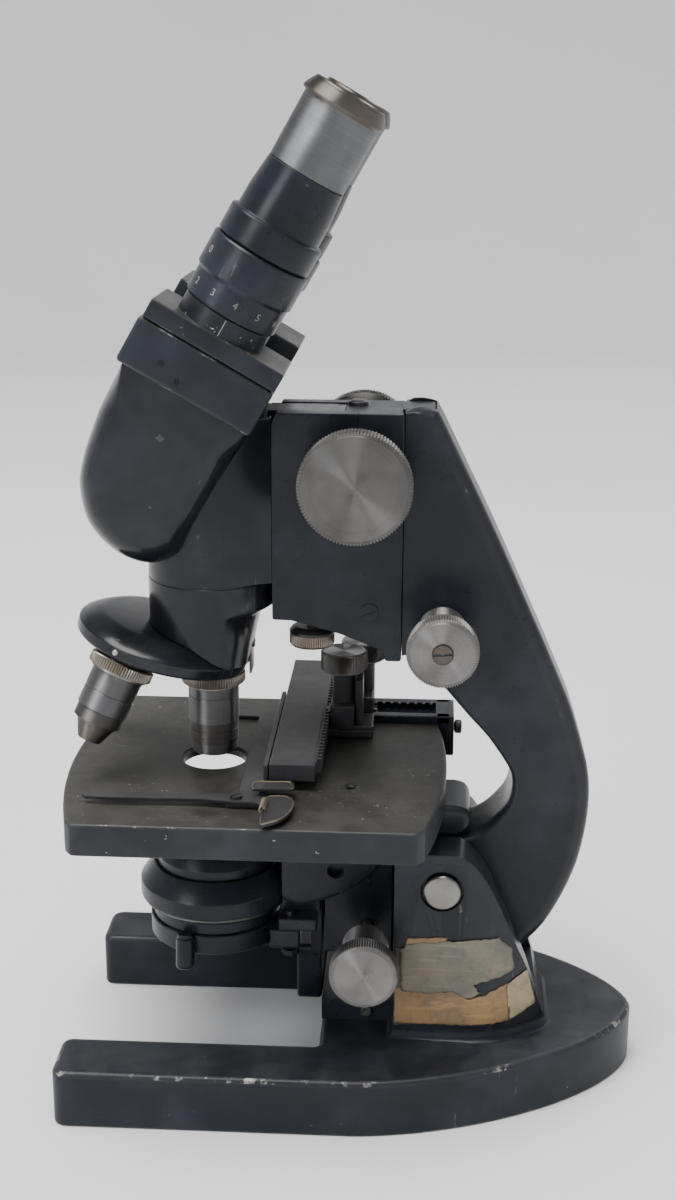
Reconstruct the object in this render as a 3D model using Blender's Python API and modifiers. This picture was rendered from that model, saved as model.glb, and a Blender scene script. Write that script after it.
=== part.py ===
"""Laboratory microscope with an inclined binocular head, horseshoe foot and tilting limb.

Frame: +Z up, +X from the front (specimen side) to the back of the limb, Y across the
instrument with the plane of symmetry at Y = 0.  The origin lies on the underside of the foot.
All driving dimensions are in millimetres and scaled by MM.
"""
import math

import bmesh
import bpy
from mathutils import Matrix, Vector

MM = 0.001
GAP = 0.3
ROUNDNESS = 0.6

# Foot and yoke
FOOT_FRONT, FOOT_REAR = -105.5, 104.5
FOOT_HALF, LEG_INNER, FOOT_H = 62.0, 37.8, 21.5
CROTCH_X = -12.0
YOKE_HALF, YOKE_FRONT_HALF, YOKE_SLOT, YOKE_TOP = 31.0, 20.0, 14.5, 94.8
YOKE_FLOOR = 35.5
PIVOT_X, PIVOT_Z = 31.5, 80.7

# Limb
LIMB_HALF = 14.0
TAIL_R = 43.2
SEAM_X = 15.3
FINE_X, FINE_Z, FINE_R = 29.6, 173.8, 12.3
COARSE_X, COARSE_Z, COARSE_R = -0.3, 229.0, 19.2

# Stage
STAGE_TOP, STAGE_T, STAGE_HALF = 117.8, 11.6, 63.7
STAGE_LEFT, STAGE_RIGHT, STAGE_BULGE = -96.5, 25.0, 7.5
APERTURE_R = 11.5
AXIS_X = -53.0

# Nosepiece
NOSE_R = 22.5
TURRET_TILT = math.radians(16.0)
TURRET_C = (-71.6, 160.9)
TURRET_R = 31.4
APEX_Z = 225.8
OBJ_TIP = 104.6

# Inclined head
HEAD_TILT = math.radians(30.0)
HEAD_O = (-23.0, 316.7)
HALF_PD = 31.0

# Rack and pinion pitch radii
COARSE_PITCH_R, SUB_PITCH_R = 6.0, 5.0
CROSS_PITCH_R, LONG_PITCH_R = 6.0, 5.0
TEETH_LARGE, TEETH_SMALL = 12, 10

for old in list(bpy.data.objects):
    bpy.data.objects.remove(old, do_unlink=True)

PARTS = bpy.data.collections.new("laboratory_microscope")
CUTTERS = bpy.data.collections.new("cutters")
bpy.context.scene.collection.children.link(PARTS)
bpy.context.scene.collection.children.link(CUTTERS)

PALETTE = {
    "black_enamel": ((0.022, 0.024, 0.028), 0.42, 0.1),
    "stage_black": ((0.055, 0.054, 0.050), 0.6, 0.1),
    "nickel": ((0.62, 0.60, 0.56), 0.3, 1.0),
    "steel": ((0.45, 0.45, 0.44), 0.35, 1.0),
    "brass": ((0.55, 0.42, 0.20), 0.35, 1.0),
    "glass": ((0.75, 0.82, 0.85), 0.05, 0.0),
    "black_plastic": ((0.02, 0.02, 0.02), 0.35, 0.0),
}


def material(name):
    """Return the named Principled material, made once."""
    found = bpy.data.materials.get(name)
    if found:
        return found
    colour, rough, metal = PALETTE[name]
    made = bpy.data.materials.new(name)
    made.use_nodes = True
    shader = made.node_tree.nodes["Principled BSDF"]
    shader.inputs["Base Color"].default_value = (*colour, 1.0)
    shader.inputs["Roughness"].default_value = rough
    shader.inputs["Metallic"].default_value = metal
    return made


def own_material(node, kind):
    """Give a part its own copy of a palette material."""
    made = material(kind).copy()
    made.name = node + "_" + kind
    return made


def make(name, mesh, matrix=Matrix.Identity(4), kind=None):
    """Link a mesh as a part (kind given) or as a cutter."""
    ob = bpy.data.objects.new(name, mesh)
    ob.matrix_world = matrix
    if kind:
        PARTS.objects.link(ob)
        mesh.materials.append(own_material(name, kind))
    else:
        CUTTERS.objects.link(ob)
        ob.hide_render = True
        ob.display_type = "WIRE"
    return ob


def shade(ob, angle=35.0):
    ob.data.shade_smooth()
    ob.data.set_sharp_from_angle(angle=math.radians(angle))


def box(name, xs, ys, zs, kind=None, bevel=0.0, segments=1, matrix=Matrix.Identity(4)):
    """Axis-aligned box between limits, with the object's origin at its centre."""
    bm = bmesh.new()
    bmesh.ops.create_cube(bm, size=1.0)
    size = [(b - a) * MM for a, b in (xs, ys, zs)]
    bmesh.ops.scale(bm, vec=size, verts=bm.verts)
    mesh = bpy.data.meshes.new(name)
    bm.to_mesh(mesh)
    bm.free()
    centre = Vector([(a + b) / 2 * MM for a, b in (xs, ys, zs)])
    ob = make(name, mesh, matrix @ Matrix.Translation(centre), kind)
    if bevel:
        soften(ob, bevel, segments)
    return ob


def soften(ob, width, segments=1, angle=50.0):
    mod = ob.modifiers.new("edge", "BEVEL")
    mod.width = width * MM
    mod.segments = segments
    mod.limit_method = "ANGLE"
    mod.angle_limit = math.radians(angle)
    mod.harden_normals = False
    return mod


def along(direction, at):
    """Matrix whose local +Z points along a direction, placed at a point in millimetres."""
    turn = Vector(direction).normalized().to_track_quat("Z", "Y").to_matrix().to_4x4()
    return Matrix.Translation(Vector(at) * MM) @ turn


def turned(name, profile, matrix, kind=None, steps=32, closed=False):
    """Solid of revolution about local Z; the profile is (radius, height), top to bottom."""
    bm = bmesh.new()
    verts = [bm.verts.new((r * MM, 0.0, z * MM)) for r, z in profile]
    for a, b in zip(verts, verts[1:]):
        bm.edges.new((a, b))
    if closed:
        bm.edges.new((verts[-1], verts[0]))
    mesh = bpy.data.meshes.new(name)
    bm.to_mesh(mesh)
    bm.free()
    ob = make(name, mesh, matrix, kind)
    mod = ob.modifiers.new("turn", "SCREW")
    mod.axis = "Z"
    mod.angle = math.tau
    mod.steps = max(10, 2 * round(steps * ROUNDNESS / 2))
    mod.render_steps = mod.steps
    mod.use_merge_vertices = True
    mod.merge_threshold = 0.00002
    mod.use_smooth_shade = True
    return ob


def rod(name, radius, length, matrix, kind=None, steps=24, chamfer=0.0):
    """Plain round bar from local z = 0 to length."""
    c = chamfer
    top = [(0, length), (radius - c, length), (radius, length - c)]
    low = [(radius, c), (radius - c, 0), (0, 0)]
    if not c:
        top, low = [(0, length), (radius, length)], [(radius, 0), (0, 0)]
    return turned(name, top + low, matrix, kind, steps)


def plate(name, outline, half, matrix, kind=None, bevel=0.0, segments=1, angle=50.0):
    """Flat outline in local XY, extruded by half each way along local Z, as a mesh."""
    curve = bpy.data.curves.new(name, "CURVE")
    curve.dimensions = "2D"
    curve.fill_mode = "BOTH"
    curve.extrude = half * MM
    spline = curve.splines.new("POLY")
    spline.points.add(len(outline) - 1)
    for point, (x, y) in zip(spline.points, outline):
        point.co = (x * MM, y * MM, 0.0, 1.0)
    spline.use_cyclic_u = True
    guide = bpy.data.objects.new(name + "_outline", curve)
    CUTTERS.objects.link(guide)
    bpy.context.view_layer.update()
    graph = bpy.context.evaluated_depsgraph_get()
    mesh = bpy.data.meshes.new_from_object(guide.evaluated_get(graph))
    bm = bmesh.new()
    bm.from_mesh(mesh)
    bmesh.ops.remove_doubles(bm, verts=bm.verts, dist=0.000001)
    bmesh.ops.dissolve_limit(bm, angle_limit=0.01, verts=bm.verts, edges=bm.edges)
    bmesh.ops.recalc_face_normals(bm, faces=bm.faces)
    bm.to_mesh(mesh)
    bm.free()
    mesh.materials.clear()
    bpy.data.objects.remove(guide, do_unlink=True)
    ob = make(name, mesh, matrix, kind)
    if bevel:
        soften(ob, bevel, segments, angle)
    return ob


# Local XY of a side outline is world XZ; its extrusion runs across the instrument.
SIDE = Matrix(((1, 0, 0, 0), (0, 0, -1, 0), (0, 1, 0, 0), (0, 0, 0, 1)))


def side_plate(name, outline, y0, y1, kind=None, bevel=0.0, segments=1, angle=50.0):
    move = Matrix.Translation((0, (y0 + y1) / 2 * MM, 0))
    return plate(name, outline, abs(y1 - y0) / 2, move @ SIDE, kind, bevel, segments, angle)


def plan_plate(name, outline, z0, z1, kind=None, bevel=0.0, segments=1, angle=50.0):
    move = Matrix.Translation((0, 0, (z0 + z1) / 2 * MM))
    return plate(name, outline, (z1 - z0) / 2, move, kind, bevel, segments, angle)


def boolean(ob, other, operation):
    mod = ob.modifiers.new(operation.lower(), "BOOLEAN")
    mod.operation = operation
    mod.solver = "EXACT"
    mod.object = other
    if PARTS.objects.get(other.name):
        PARTS.objects.unlink(other)
        CUTTERS.objects.link(other)
    other.hide_render = True
    other.display_type = "WIRE"
    return mod


def cut(ob, *others):
    for other in others:
        boolean(ob, other, "DIFFERENCE")
    return ob


def fuse(ob, *others):
    for other in others:
        boolean(ob, other, "UNION")
    return ob


def arc(cx, cy, r, a0, a1, count):
    """Points on a circle from angle a0 to a1 in degrees."""
    step = math.radians(a1 - a0) / (count - 1)
    return [(cx + r * math.cos(math.radians(a0) + i * step),
             cy + r * math.sin(math.radians(a0) + i * step)) for i in range(count)]


def rounded(xs, ys, r, count=4):
    """Rectangle outline with rounded corners."""
    (x0, x1), (y0, y1) = xs, ys
    return (arc(x1 - r, y1 - r, r, 0, 90, count) + arc(x0 + r, y1 - r, r, 90, 180, count)
            + arc(x0 + r, y0 + r, r, 180, 270, count) + arc(x1 - r, y0 + r, r, 270, 360, count))


def smooth_path(points, per=3):
    """Catmull-Rom points through the given outline points."""
    out = []
    n = len(points)
    for i in range(n - 1):
        p0, p1 = points[max(i - 1, 0)], points[i]
        p2, p3 = points[i + 1], points[min(i + 2, n - 1)]
        for k in range(per):
            t = k / per
            out.append(tuple(
                0.5 * (2 * b + (c - a) * t + (2 * a - 5 * b + 4 * c - d) * t * t
                       + (3 * b - a - 3 * c + d) * t ** 3)
                for a, b, c, d in zip(p0, p1, p2, p3)))
    out.append(points[-1])
    return out


def gear_outline(pitch_r, teeth, phase=0.0, add=0.6, ded=1.1, width=0.34):
    """Spur pinion outline with slim teeth; phase turns the first tooth, in degrees."""
    points = []
    step = math.tau / teeth
    root, tip = pitch_r - ded, pitch_r + add
    for i in range(teeth):
        a = math.radians(phase) + i * step
        for r, f in ((root, -0.62), (tip, -0.36), (tip, 0.36), (root, 0.62)):
            w = f * width * step
            points.append((r * math.cos(a + w * 1.0), r * math.sin(a + w * 1.0)))
    return points


def rack_outline(length, pitch, first, depth, back, width=0.34, tooth=1.65):
    """Rack outline along local X from 0 to length, teeth pointing to +Y."""
    points = [(0.0, -back), (0.0, 0.0)]
    x = first
    while x < length - pitch * 0.5:
        if x > pitch * 0.5:
            for f, y in ((-0.62, 0.0), (-0.36, tooth), (0.36, tooth), (0.62, 0.0)):
                points.append((x + f * width * pitch, y))
        x += pitch
    points += [(length, 0.0), (length, -back)]
    return points[::-1]


GROUPS = {}


def body(name, at, direction=(0, 0, 1)):
    """Empty on a joint's axis that carries the pieces of a moving body."""
    empty = bpy.data.objects.new(name + "_axis", None)
    empty.matrix_world = along(direction, at)
    PARTS.objects.link(empty)
    GROUPS[name] = empty
    return empty


def ride(name, *pieces):
    """Parent pieces to a body's empty without moving them."""
    empty = GROUPS[name]
    bpy.context.view_layer.update()
    for piece in pieces:
        place = piece.matrix_world.copy()
        piece.parent = empty
        piece.matrix_parent_inverse = empty.matrix_world.inverted()
        piece.matrix_world = place


def head_point(t, w, y=0.0):
    """Point in the inclined head: t along the tubes, w across them, in millimetres."""
    s, c = math.sin(HEAD_TILT), math.cos(HEAD_TILT)
    return (HEAD_O[0] + t * s + w * c, y, HEAD_O[1] + t * c - w * s)


TUBE_DIR = (math.sin(HEAD_TILT), 0.0, math.cos(HEAD_TILT))
# Local X runs across the tubes (w), local Y along them (t), local Z across the instrument.
HEAD_SIDE = Matrix((
    (math.cos(HEAD_TILT), math.sin(HEAD_TILT), 0, HEAD_O[0] * MM),
    (0, 0, -1, 0),
    (-math.sin(HEAD_TILT), math.cos(HEAD_TILT), 0, HEAD_O[1] * MM),
    (0, 0, 0, 1)))
# Local X is w, local Y is across the instrument, local Z runs along the tubes.
HEAD_PLAN = Matrix((
    (math.cos(HEAD_TILT), 0, math.sin(HEAD_TILT), HEAD_O[0] * MM),
    (0, 1, 0, 0),
    (-math.sin(HEAD_TILT), 0, math.cos(HEAD_TILT), HEAD_O[1] * MM),
    (0, 0, 0, 1)))

TURRET_AXIS = (-math.sin(TURRET_TILT), 0.0, -math.cos(TURRET_TILT))
TURRET_AT = (TURRET_C[0], 0.0, TURRET_C[1])
# Local Z points up along the turret axis, origin at the disc's centre.
TURRET_M = along([-c for c in TURRET_AXIS], TURRET_AT)


def knob(name, r, y_face, y_back, x, z, kind="nickel", bore=0.0, steps=40):
    """Milled head whose face looks along -Y or +Y."""
    sign = -1 if y_face < 0 else 1
    length = abs(y_face - y_back)
    m = along((0, sign, 0), (x, y_back, z))
    profile = [(0, length), (r - 1.2, length), (r, length - 1.0), (r, length - 6.6),
               (r - 1.0, length - 7.4), (r - 3.5, length - 8.0), (8.5, 0)]
    if length < 9:
        profile = [(0, length), (r - 1.0, length), (r, length - 0.9), (r, 0.8), (r - 0.8, 0)]
    if bore:
        profile = profile + [(bore, 0), (bore, length - 3.0), (0, length - 3.0)]
    else:
        profile = profile + [(0, 0)]
    return turned(name, profile, m, kind, steps)


# ------------------------------------------------------------------ foot and yoke
def foot_outline():
    rear = []
    for i in range(1, 20):
        y = FOOT_HALF * math.cos(math.pi * i / 20)
        x = FOOT_REAR * (1 - abs(y / FOOT_HALF) ** 1.65) ** (1 / 1.65)
        rear.append((x, -y))
    near = arc(FOOT_FRONT + 5, -FOOT_HALF + 5, 5, 180, 270, 4)
    far = arc(FOOT_FRONT + 5, FOOT_HALF - 5, 5, 90, 180, 4)
    far_in = arc(FOOT_FRONT + 4, LEG_INNER + 4, 4, 180, 270, 3)
    near_in = arc(FOOT_FRONT + 4, -LEG_INNER - 4, 4, 90, 180, 3)
    crotch = (arc(CROTCH_X - 9, LEG_INNER - 9, 9, 90, 0, 4)
              + arc(CROTCH_X - 9, -LEG_INNER + 9, 9, 0, -90, 4))
    return (near + [(0, -FOOT_HALF)] + rear + [(0, FOOT_HALF)] + far + far_in
            + crotch + near_in)


foot = plan_plate("horseshoe_foot", foot_outline(), 0.0, FOOT_H, "black_enamel", 1.6, 2)

yoke_side = ([(CROTCH_X, FOOT_H + GAP), (CROTCH_X, 30.0), (14.5, 30.0), (14.5, 90.8),
              (18.5, YOKE_TOP), (34.0, YOKE_TOP)]
             + smooth_path([(38.0, 94.4), (42.1, 91.7), (45.7, 87.3), (49.4, 80.9), (54.5, 69.4),
                            (59.0, 57.6), (63.0, 47.8), (68.0, 32.4), (71.0, FOOT_H + GAP)], 2))
yoke = side_plate("pillar_yoke", yoke_side[::-1], -YOKE_HALF, YOKE_HALF, "black_enamel")
yoke_plan = [(CROTCH_X - 1, -YOKE_FRONT_HALF), (14.5, -YOKE_FRONT_HALF), (14.5, -YOKE_HALF),
             (46.0, -YOKE_HALF), (56.0, -28.0), (66.0, -21.5), (73.0, -13.0), (73.0, 13.0),
             (66.0, 21.5), (56.0, 28.0), (46.0, YOKE_HALF), (14.5, YOKE_HALF),
             (14.5, YOKE_FRONT_HALF), (CROTCH_X - 1, YOKE_FRONT_HALF)]
boolean(yoke, plan_plate("yoke_plan", yoke_plan, 0, 120), "INTERSECT")
cut(yoke, box("yoke_slot", (12, 90), (-YOKE_SLOT, YOKE_SLOT), (YOKE_FLOOR, 120)),
    rod("yoke_bore", 5.4, 80, along((0, 1, 0), (PIVOT_X, -40, PIVOT_Z))))
for side in (-1, 1):
    recess = along((0, side, 0), (PIVOT_X, side * 29.0, PIVOT_Z))
    cut(yoke, rod("pivot_recess", 7.7, 10, recess, steps=28))

pivot_pin = rod("pivot_pin", 5.0, 56.0, along((0, 1, 0), (PIVOT_X, -28.0, PIVOT_Z)), "steel", 24)
caps = []
for side, tag in ((-1, "near"), (1, "far")):
    m = along((0, side, 0), (PIVOT_X, side * 29.3, PIVOT_Z))
    caps.append(turned("pivot_cap_" + tag, [(0, 3.6), (6.0, 3.6), (6.6, 3.0), (6.6, 0), (0, 0)],
                       m, "nickel", 28))

bolts = []
for x, tag in ((10.0, "front"), (56.0, "rear")):
    m = along((0, 0, 1), (x, 0, 3.0))
    bolts.append(turned("pillar_bolt_" + tag, [(0, 23), (3.0, 23), (3.0, 5), (5.5, 5), (5.5, 0),
                                               (0, 0)], m, "steel", 16))
    cut(foot, turned("bolt_well", [(0, 30), (3.4, 30), (3.4, 8.4), (6.0, 8.4), (6.0, -3), (0, -3)],
                     along((0, 0, 1), (x, 0, 0)), None, 18))
    cut(yoke, rod("bolt_hole", 3.3, 12.0, along((0, 0, 1), (x, 0, 15)), steps=16))

# ------------------------------------------------------------------ limb
body("limb", (PIVOT_X, 0, PIVOT_Z), (0, 1, 0))
arm_back = smooth_path([(25.4, 250.0), (27.6, 247.6), (34.9, 233.0), (42.4, 217.9),
                        (50.1, 201.8), (57.9, 184.8), (65.8, 167.5), (72.2, 153.0),
                        (76.3, 143.1), (80.3, 130.5), (82.6, 122.2), (83.7, 114.9),
                        (83.9, 106.4), (82.9, 95.6), (80.5, 83.7), (76.1, 71.5),
                        (69.6, 59.1), (61.8, 50.0)], 1)
arm_tail = arc(PIVOT_X, PIVOT_Z, TAIL_R, -50, -113, 7)
arm_inner = smooth_path([(33.5, 94.0), (41.2, 94.9), (47.9, 98.8), (53.5, 105.3),
                         (55.6, 110.6), (55.7, 116.8), (53.8, 121.9), (46.9, 132.0),
                         (39.0, 140.9), (30.6, 150.8), (21.0, 161.0)], 1)
arm_front = [(14.4, 94.0)]
arm_outline = ([(SEAM_X + 0.3, 249.0), (21.0, 250.8)] + arm_back + arm_tail
               + [(14.4, 45.0)] + arm_front + arm_inner + [(SEAM_X + 0.3, 163.0)])
arm = side_plate("limb_arm", arm_outline[::-1], -LIMB_HALF, LIMB_HALF, "black_enamel", 4.0, 2, 60)
cut(arm, rod("limb_bore", 5.4, 40, along((0, 1, 0), (PIVOT_X, -20, PIVOT_Z))),
    box("fine_channel", (10, 26.0), (-8.4, 8.4), (168, 262)),
    rod("fine_shaft_bore", 3.3, 60, along((0, 1, 0), (FINE_X, -30, FINE_Z)), steps=16))

bracket_low = smooth_path([(-31.0, 76.0), (-29.0, 68.5), (-22.5, 64.6), (-13.0, 66.2),
                           (-2.0, 71.5), (7.0, 79.0), (12.5, 87.0), (14.0, 94.3)], 2)
bracket_outline = ([(-31.0, 105.9)] + bracket_low
                   + [(36.0, 94.3), (40.5, 97.5), (41.5, 101.5), (39.5, 104.8), (36.0, 105.9)])
bracket = side_plate("stage_bracket", bracket_outline, -14.0, 14.0, "black_enamel", 2.5, 2, 60)
cut(bracket, box("guide_slot", (-40, 14.2), (-10.4, 10.4), (40, 98.0)),
    rod("mount_room", 29.4, 30, along((0, 0, 1), (AXIS_X, 0, 50)), steps=60),
    rod("lug_hole", 3.1, 40, along((0, 1, 0), (-7.4, -20, 79.5)), steps=16))

guide = box("substage_guide", (-12.2, 14.0), (-10, 10), (44.0, 97.7), "black_enamel", 0.8)
cut(guide, box("tongue_slot", (-14, 0.4), (-5.3, 5.3), (40, 99)),
    rod("sub_shaft_bore", 2.7, 40, along((0, 1, 0), (4.4, -20, 56.0)), steps=16),
    rod("sub_pinion_well", 6.4, 10.6, along((0, 1, 0), (4.4, -5.3, 56.0)), steps=20))

stage_near = [(STAGE_LEFT + 2.5, -STAGE_HALF), (STAGE_RIGHT - 3.0, -STAGE_HALF)]
right_edge = [(STAGE_RIGHT + STAGE_BULGE * (1 - (y / 60.0) ** 2), y)
              for y in (-60.5, -45, -30, -15, 0, 15, 30, 45, 60.5)]
left_edge = [(STAGE_LEFT - (STAGE_BULGE + 0.8) * (1 - (y / 60.0) ** 2), y)
             for y in (60.5, 45, 30, 15, 0, -15, -30, -45, -60.5)]
stage_far = [(STAGE_RIGHT - 3.0, STAGE_HALF), (STAGE_LEFT + 2.5, STAGE_HALF)]
stage = plan_plate("stage_plate", stage_near + right_edge + stage_far + left_edge,
                   STAGE_TOP - STAGE_T, STAGE_TOP, "stage_black", 0.9, 1)
cut(stage, rod("aperture", APERTURE_R, 40, along((0, 0, 1), (AXIS_X, 0, 100)), steps=40))
for y in (-25.6, 25.6):
    cut(stage, rod("clip_hole", 1.6, 8, along((0, 0, 1), (-1.6, y, 112)), steps=12))
# Mechanical stage mount: rail on the stage with a block behind its rear edge
mount = box("slide_mount", (-8, 34), (38, 58), (STAGE_TOP + GAP, 121.1), "stage_black", 0.4)
mount_block = box("mount_block", (32.8, 39.0), (38, 58), (107.0, 121.1))
long_pitch = math.tau * LONG_PITCH_R / TEETH_SMALL
mount_rack = plate("mount_rack", rack_outline(40.0, long_pitch, 7.0 - long_pitch * 1.5, 0, 2.2),
                   1.4, Matrix.Translation((-7.0 * MM, 53.75 * MM, 119.6 * MM))
                   @ Matrix.Rotation(math.pi, 4, "X"))
cut(mount, box("pinion_slot", (-12, 32.5), (42.0, 54.6), (116, 123)))
fuse(mount, mount_block, mount_rack)
cut(mount, rod("clamp_bore", 1.7, 20, along((1, 0, 0), (25, 48, 113.5)), steps=12))
clamp = turned("mount_clamp_screw", [(0, 13.0), (3.4, 13.0), (4.0, 12.4), (4.0, 9.2), (1.4, 8.8),
                                     (1.4, 0), (0, 0)],
               along((1, 0, 0), (30.5, 48, 113.5)), "black_plastic", 20)
ride("limb", arm, bracket, guide, stage, mount)
body("clamp", (30.5, 48, 113.5), (1, 0, 0))
ride("clamp", clamp)

# ------------------------------------------------------------------ fine focus
body("fine_knobs", (FINE_X, 0, FINE_Z), (0, 1, 0))
fine_shaft = turned("fine_shaft", [(0, 76), (2.6, 76), (2.6, 39.2), (3.0, 39.2), (3.0, 36.8),
                                   (2.6, 36.8), (2.6, 0), (0, 0)],
                    along((0, 1, 0), (FINE_X, -38, FINE_Z)), "steel", 16)
fine_near = knob("fine_knob_near", FINE_R, -43.5, -17.0, FINE_X, FINE_Z, bore=3.0)
fine_far = knob("fine_knob_far", FINE_R, 43.5, 17.0, FINE_X, FINE_Z, bore=3.0)
ride("fine_knobs", fine_shaft, fine_near, fine_far)

body("fine_slide", (0, 0, 205))
housing_outline = [(-30.1, 175.4), (-23.5, 175.3), (-10.7, 171.9), (-5.9, 170.6), (4.2, 166.6),
                   (9.0, 164.4), (9.7, 161.0), (SEAM_X, 161.0), (SEAM_X, 248.8),
                   (-28.3, 248.8), (-30.1, 245.0)]
housing = side_plate("focus_housing", housing_outline, -LIMB_HALF, LIMB_HALF,
                     "black_enamel", 0.8, 1, 60)
cut(housing, box("slide_channel", (-40, -4.9), (-8.4, 8.4), (177.6, 260)),
    box("pinion_channel", (-7, 8.0), (-8.4, 8.4), (220, 238)),
    rod("coarse_bore", 3.3, 60, along((0, 1, 0), (COARSE_X, -30, COARSE_Z)), steps=16),
    box("tension_slit", (-1.1, 0.1), (-20, -8), (231.5, 260)),
    rod("clamp_knob_bore", 2.3, 14, along((0, 0, 1), (-17.0, 0, 163)), steps=12))
fuse(housing, box("fine_slide_tongue", (14.0, 25.6), (-8, 8), (172, 245)))
ride("fine_slide", housing)

body("coarse_knobs", (COARSE_X, 0, COARSE_Z), (0, 1, 0))
coarse_shaft = turned("coarse_shaft", [(0, 76), (3.0, 76), (3.0, 0), (0, 0)],
                      along((0, 1, 0), (COARSE_X, -38, COARSE_Z)), "steel", 16)
pinion = plate("coarse_pinion", gear_outline(COARSE_PITCH_R, TEETH_LARGE, 180.0), 7.0,
               Matrix.Translation((COARSE_X * MM, 0, COARSE_Z * MM)) @ SIDE)
fuse(coarse_shaft, pinion)
coarse_near = knob("coarse_knob_near", COARSE_R, -42.3, -16.0, COARSE_X, COARSE_Z, bore=3.4)
coarse_far = knob("coarse_knob_far", COARSE_R, 42.3, 16.0, COARSE_X, COARSE_Z, bore=3.4)
ride("coarse_knobs", coarse_shaft, coarse_near, coarse_far)

# ------------------------------------------------------------------ body tube, nose, head
body("body_tube", (AXIS_X, 0, 205))
pod_low = smooth_path([(-23.5, -66.4), (-23.7, -86.3), (-22.4, -98.0), (-20.3, -109.0),
                       (-16.6, -118.4), (-7.5, -128.3), (5.5, -132.6), (17.0, -130.8),
                       (23.6, -124.5), (25.4, -115.7), (25.4, -66.4)], 2)


def grow(outline, amount):
    """Outline pushed outwards from its own centre line by an amount."""
    n = len(outline)
    out = []
    for i, (x, y) in enumerate(outline):
        ax, ay = outline[i - 1]
        bx, by = outline[(i + 1) % n]
        nx, ny = by - ay, ax - bx
        size = math.hypot(nx, ny)
        out.append((x + nx / size * amount, y + ny / size * amount))
    return out


tube_body = rod("nose_barrel", NOSE_R, 47.6, along((0, 0, 1), (AXIS_X, 0, 188.4)), "black_enamel",
                48)
tongue = box("slide_tongue", (-50.0, -8.0), (-8.0, 8.0), (188.4, 247.0))
tongue_tail = box("tongue_tail", (-28.5, -8.6), (-7.6, 7.6), (180.0, 190.0))
coarse_pitch = math.tau * COARSE_PITCH_R / TEETH_LARGE
rack = plate("coarse_rack", rack_outline(66.0, coarse_pitch, 229.0 - 181.0 - coarse_pitch * 15.5,
                                         0, 2.2), 6.0,
             Matrix(((0, 1, 0, (COARSE_X - COARSE_PITCH_R - 0.75) * MM),
                     (0, 0, 1, 0), (1, 0, 0, 181.0 * MM), (0, 0, 0, 1))), "brass")
fuse(tube_body, tongue, tongue_tail)
pod_room = [(w, t if t < -67 else -40.0) for w, t in grow(pod_low, 0.35)]
cut(tube_body, plate("pod_cut", pod_room, 45.0, HEAD_SIDE),
    box("rack_seat", (-9.55, -6), (-9, 9), (172, 250)),
    rod("light_bore", 14.0, 90, along((0, 0, 1), (AXIS_X, 0, 180)), steps=32))

holder = rod("nosepiece_holder", NOSE_R, 50.0, along((0, 0, 1), (AXIS_X, 0, 138.1)),
             "black_enamel", 48)
cut(holder, box("holder_cut", (-80, 80), (-60, 60), (-80, 9.4), matrix=TURRET_M),
    rod("holder_bore", 9.5, 90, along((0, 0, 1), (AXIS_X, 0, 120)), steps=28),
    rod("pivot_thread", 3.2, 18.0, TURRET_M @ Matrix.Translation((0, 0, 2 * MM)), steps=16))
clip = box("detent_spring", (-39.6, -38.5), (-4.5, 4.5), (148.0, 166.0), "nickel")
cut(holder, box("clip_seat", (-39.9, -38.2), (-4.8, 4.8), (155.0, 166.3)))

pod = plate("prism_housing", pod_low, 31.0, HEAD_SIDE, "black_enamel", 9.0, 2, 60)
cut(pod, box("pod_hollow", (-18, 19.5), (-25, 25), (-112, -60), matrix=HEAD_PLAN),
    rod("pod_window", 11.0, 60, along((0, 0, 1), (AXIS_X, 0, 190)), steps=24))
block = box("head_block", (-23.5, 25.4), (-47, 47), (-66.0, -50.0), "black_enamel", 1.2, 1,
            HEAD_PLAN)
for y in (-HALF_PD, HALF_PD):
    cut(block, rod("block_bore", 11.5, 40, along(TUBE_DIR, head_point(-80, 0, y)), steps=28))
cut(block, box("block_well", (-17, 17), (-40, 40), (-70, -56.0), matrix=HEAD_PLAN))
prism = box("beam_splitter_prism", (-14, 14), (-23, 23), (-98.0, -68.0), "glass", 1.0, 1,
            HEAD_PLAN)
pivot_screw = turned("nosepiece_pivot", [(0, 18.5), (2.9, 18.5), (2.9, -0.4), (6.5, -0.4),
                                         (6.5, -3.4), (5.6, -4.2), (0, -4.2)],
                     TURRET_M, "steel", 20)
ride("body_tube", tube_body, rack, holder, clip, pod, block, prism, pivot_screw)

# ------------------------------------------------------------------ revolving nosepiece
body("nosepiece", TURRET_AT, TURRET_AXIS)
disc_profile = [(22.0, 9.0), (26.5, 7.4), (TURRET_R - 0.6, 5.2), (TURRET_R, 4.4), (TURRET_R, 0.5),
                (TURRET_R - 0.6, 0.0), (3.3, 0.0), (3.3, 9.0)]
disc = turned("revolving_turret", disc_profile, TURRET_M, "black_enamel", 56, closed=True)
APEX = Vector((AXIS_X, 0, APEX_Z))
nose_parts = [disc]


def objective_frame(index):
    """Frame at the apex for one objective: local -Z runs down its axis."""
    spin = Matrix.Rotation(math.radians(120.0 * index), 4, Vector(TURRET_AXIS))
    down = spin @ Vector((0, 0, -1))
    side = spin @ Vector((1, 0, 0))
    up = -down
    across = up.cross(side)
    m = Matrix.Identity(4)
    for row in range(3):
        m[row][0], m[row][1], m[row][2] = side[row], across[row], up[row]
        m[row][3] = APEX[row] * MM
    return m


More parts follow.
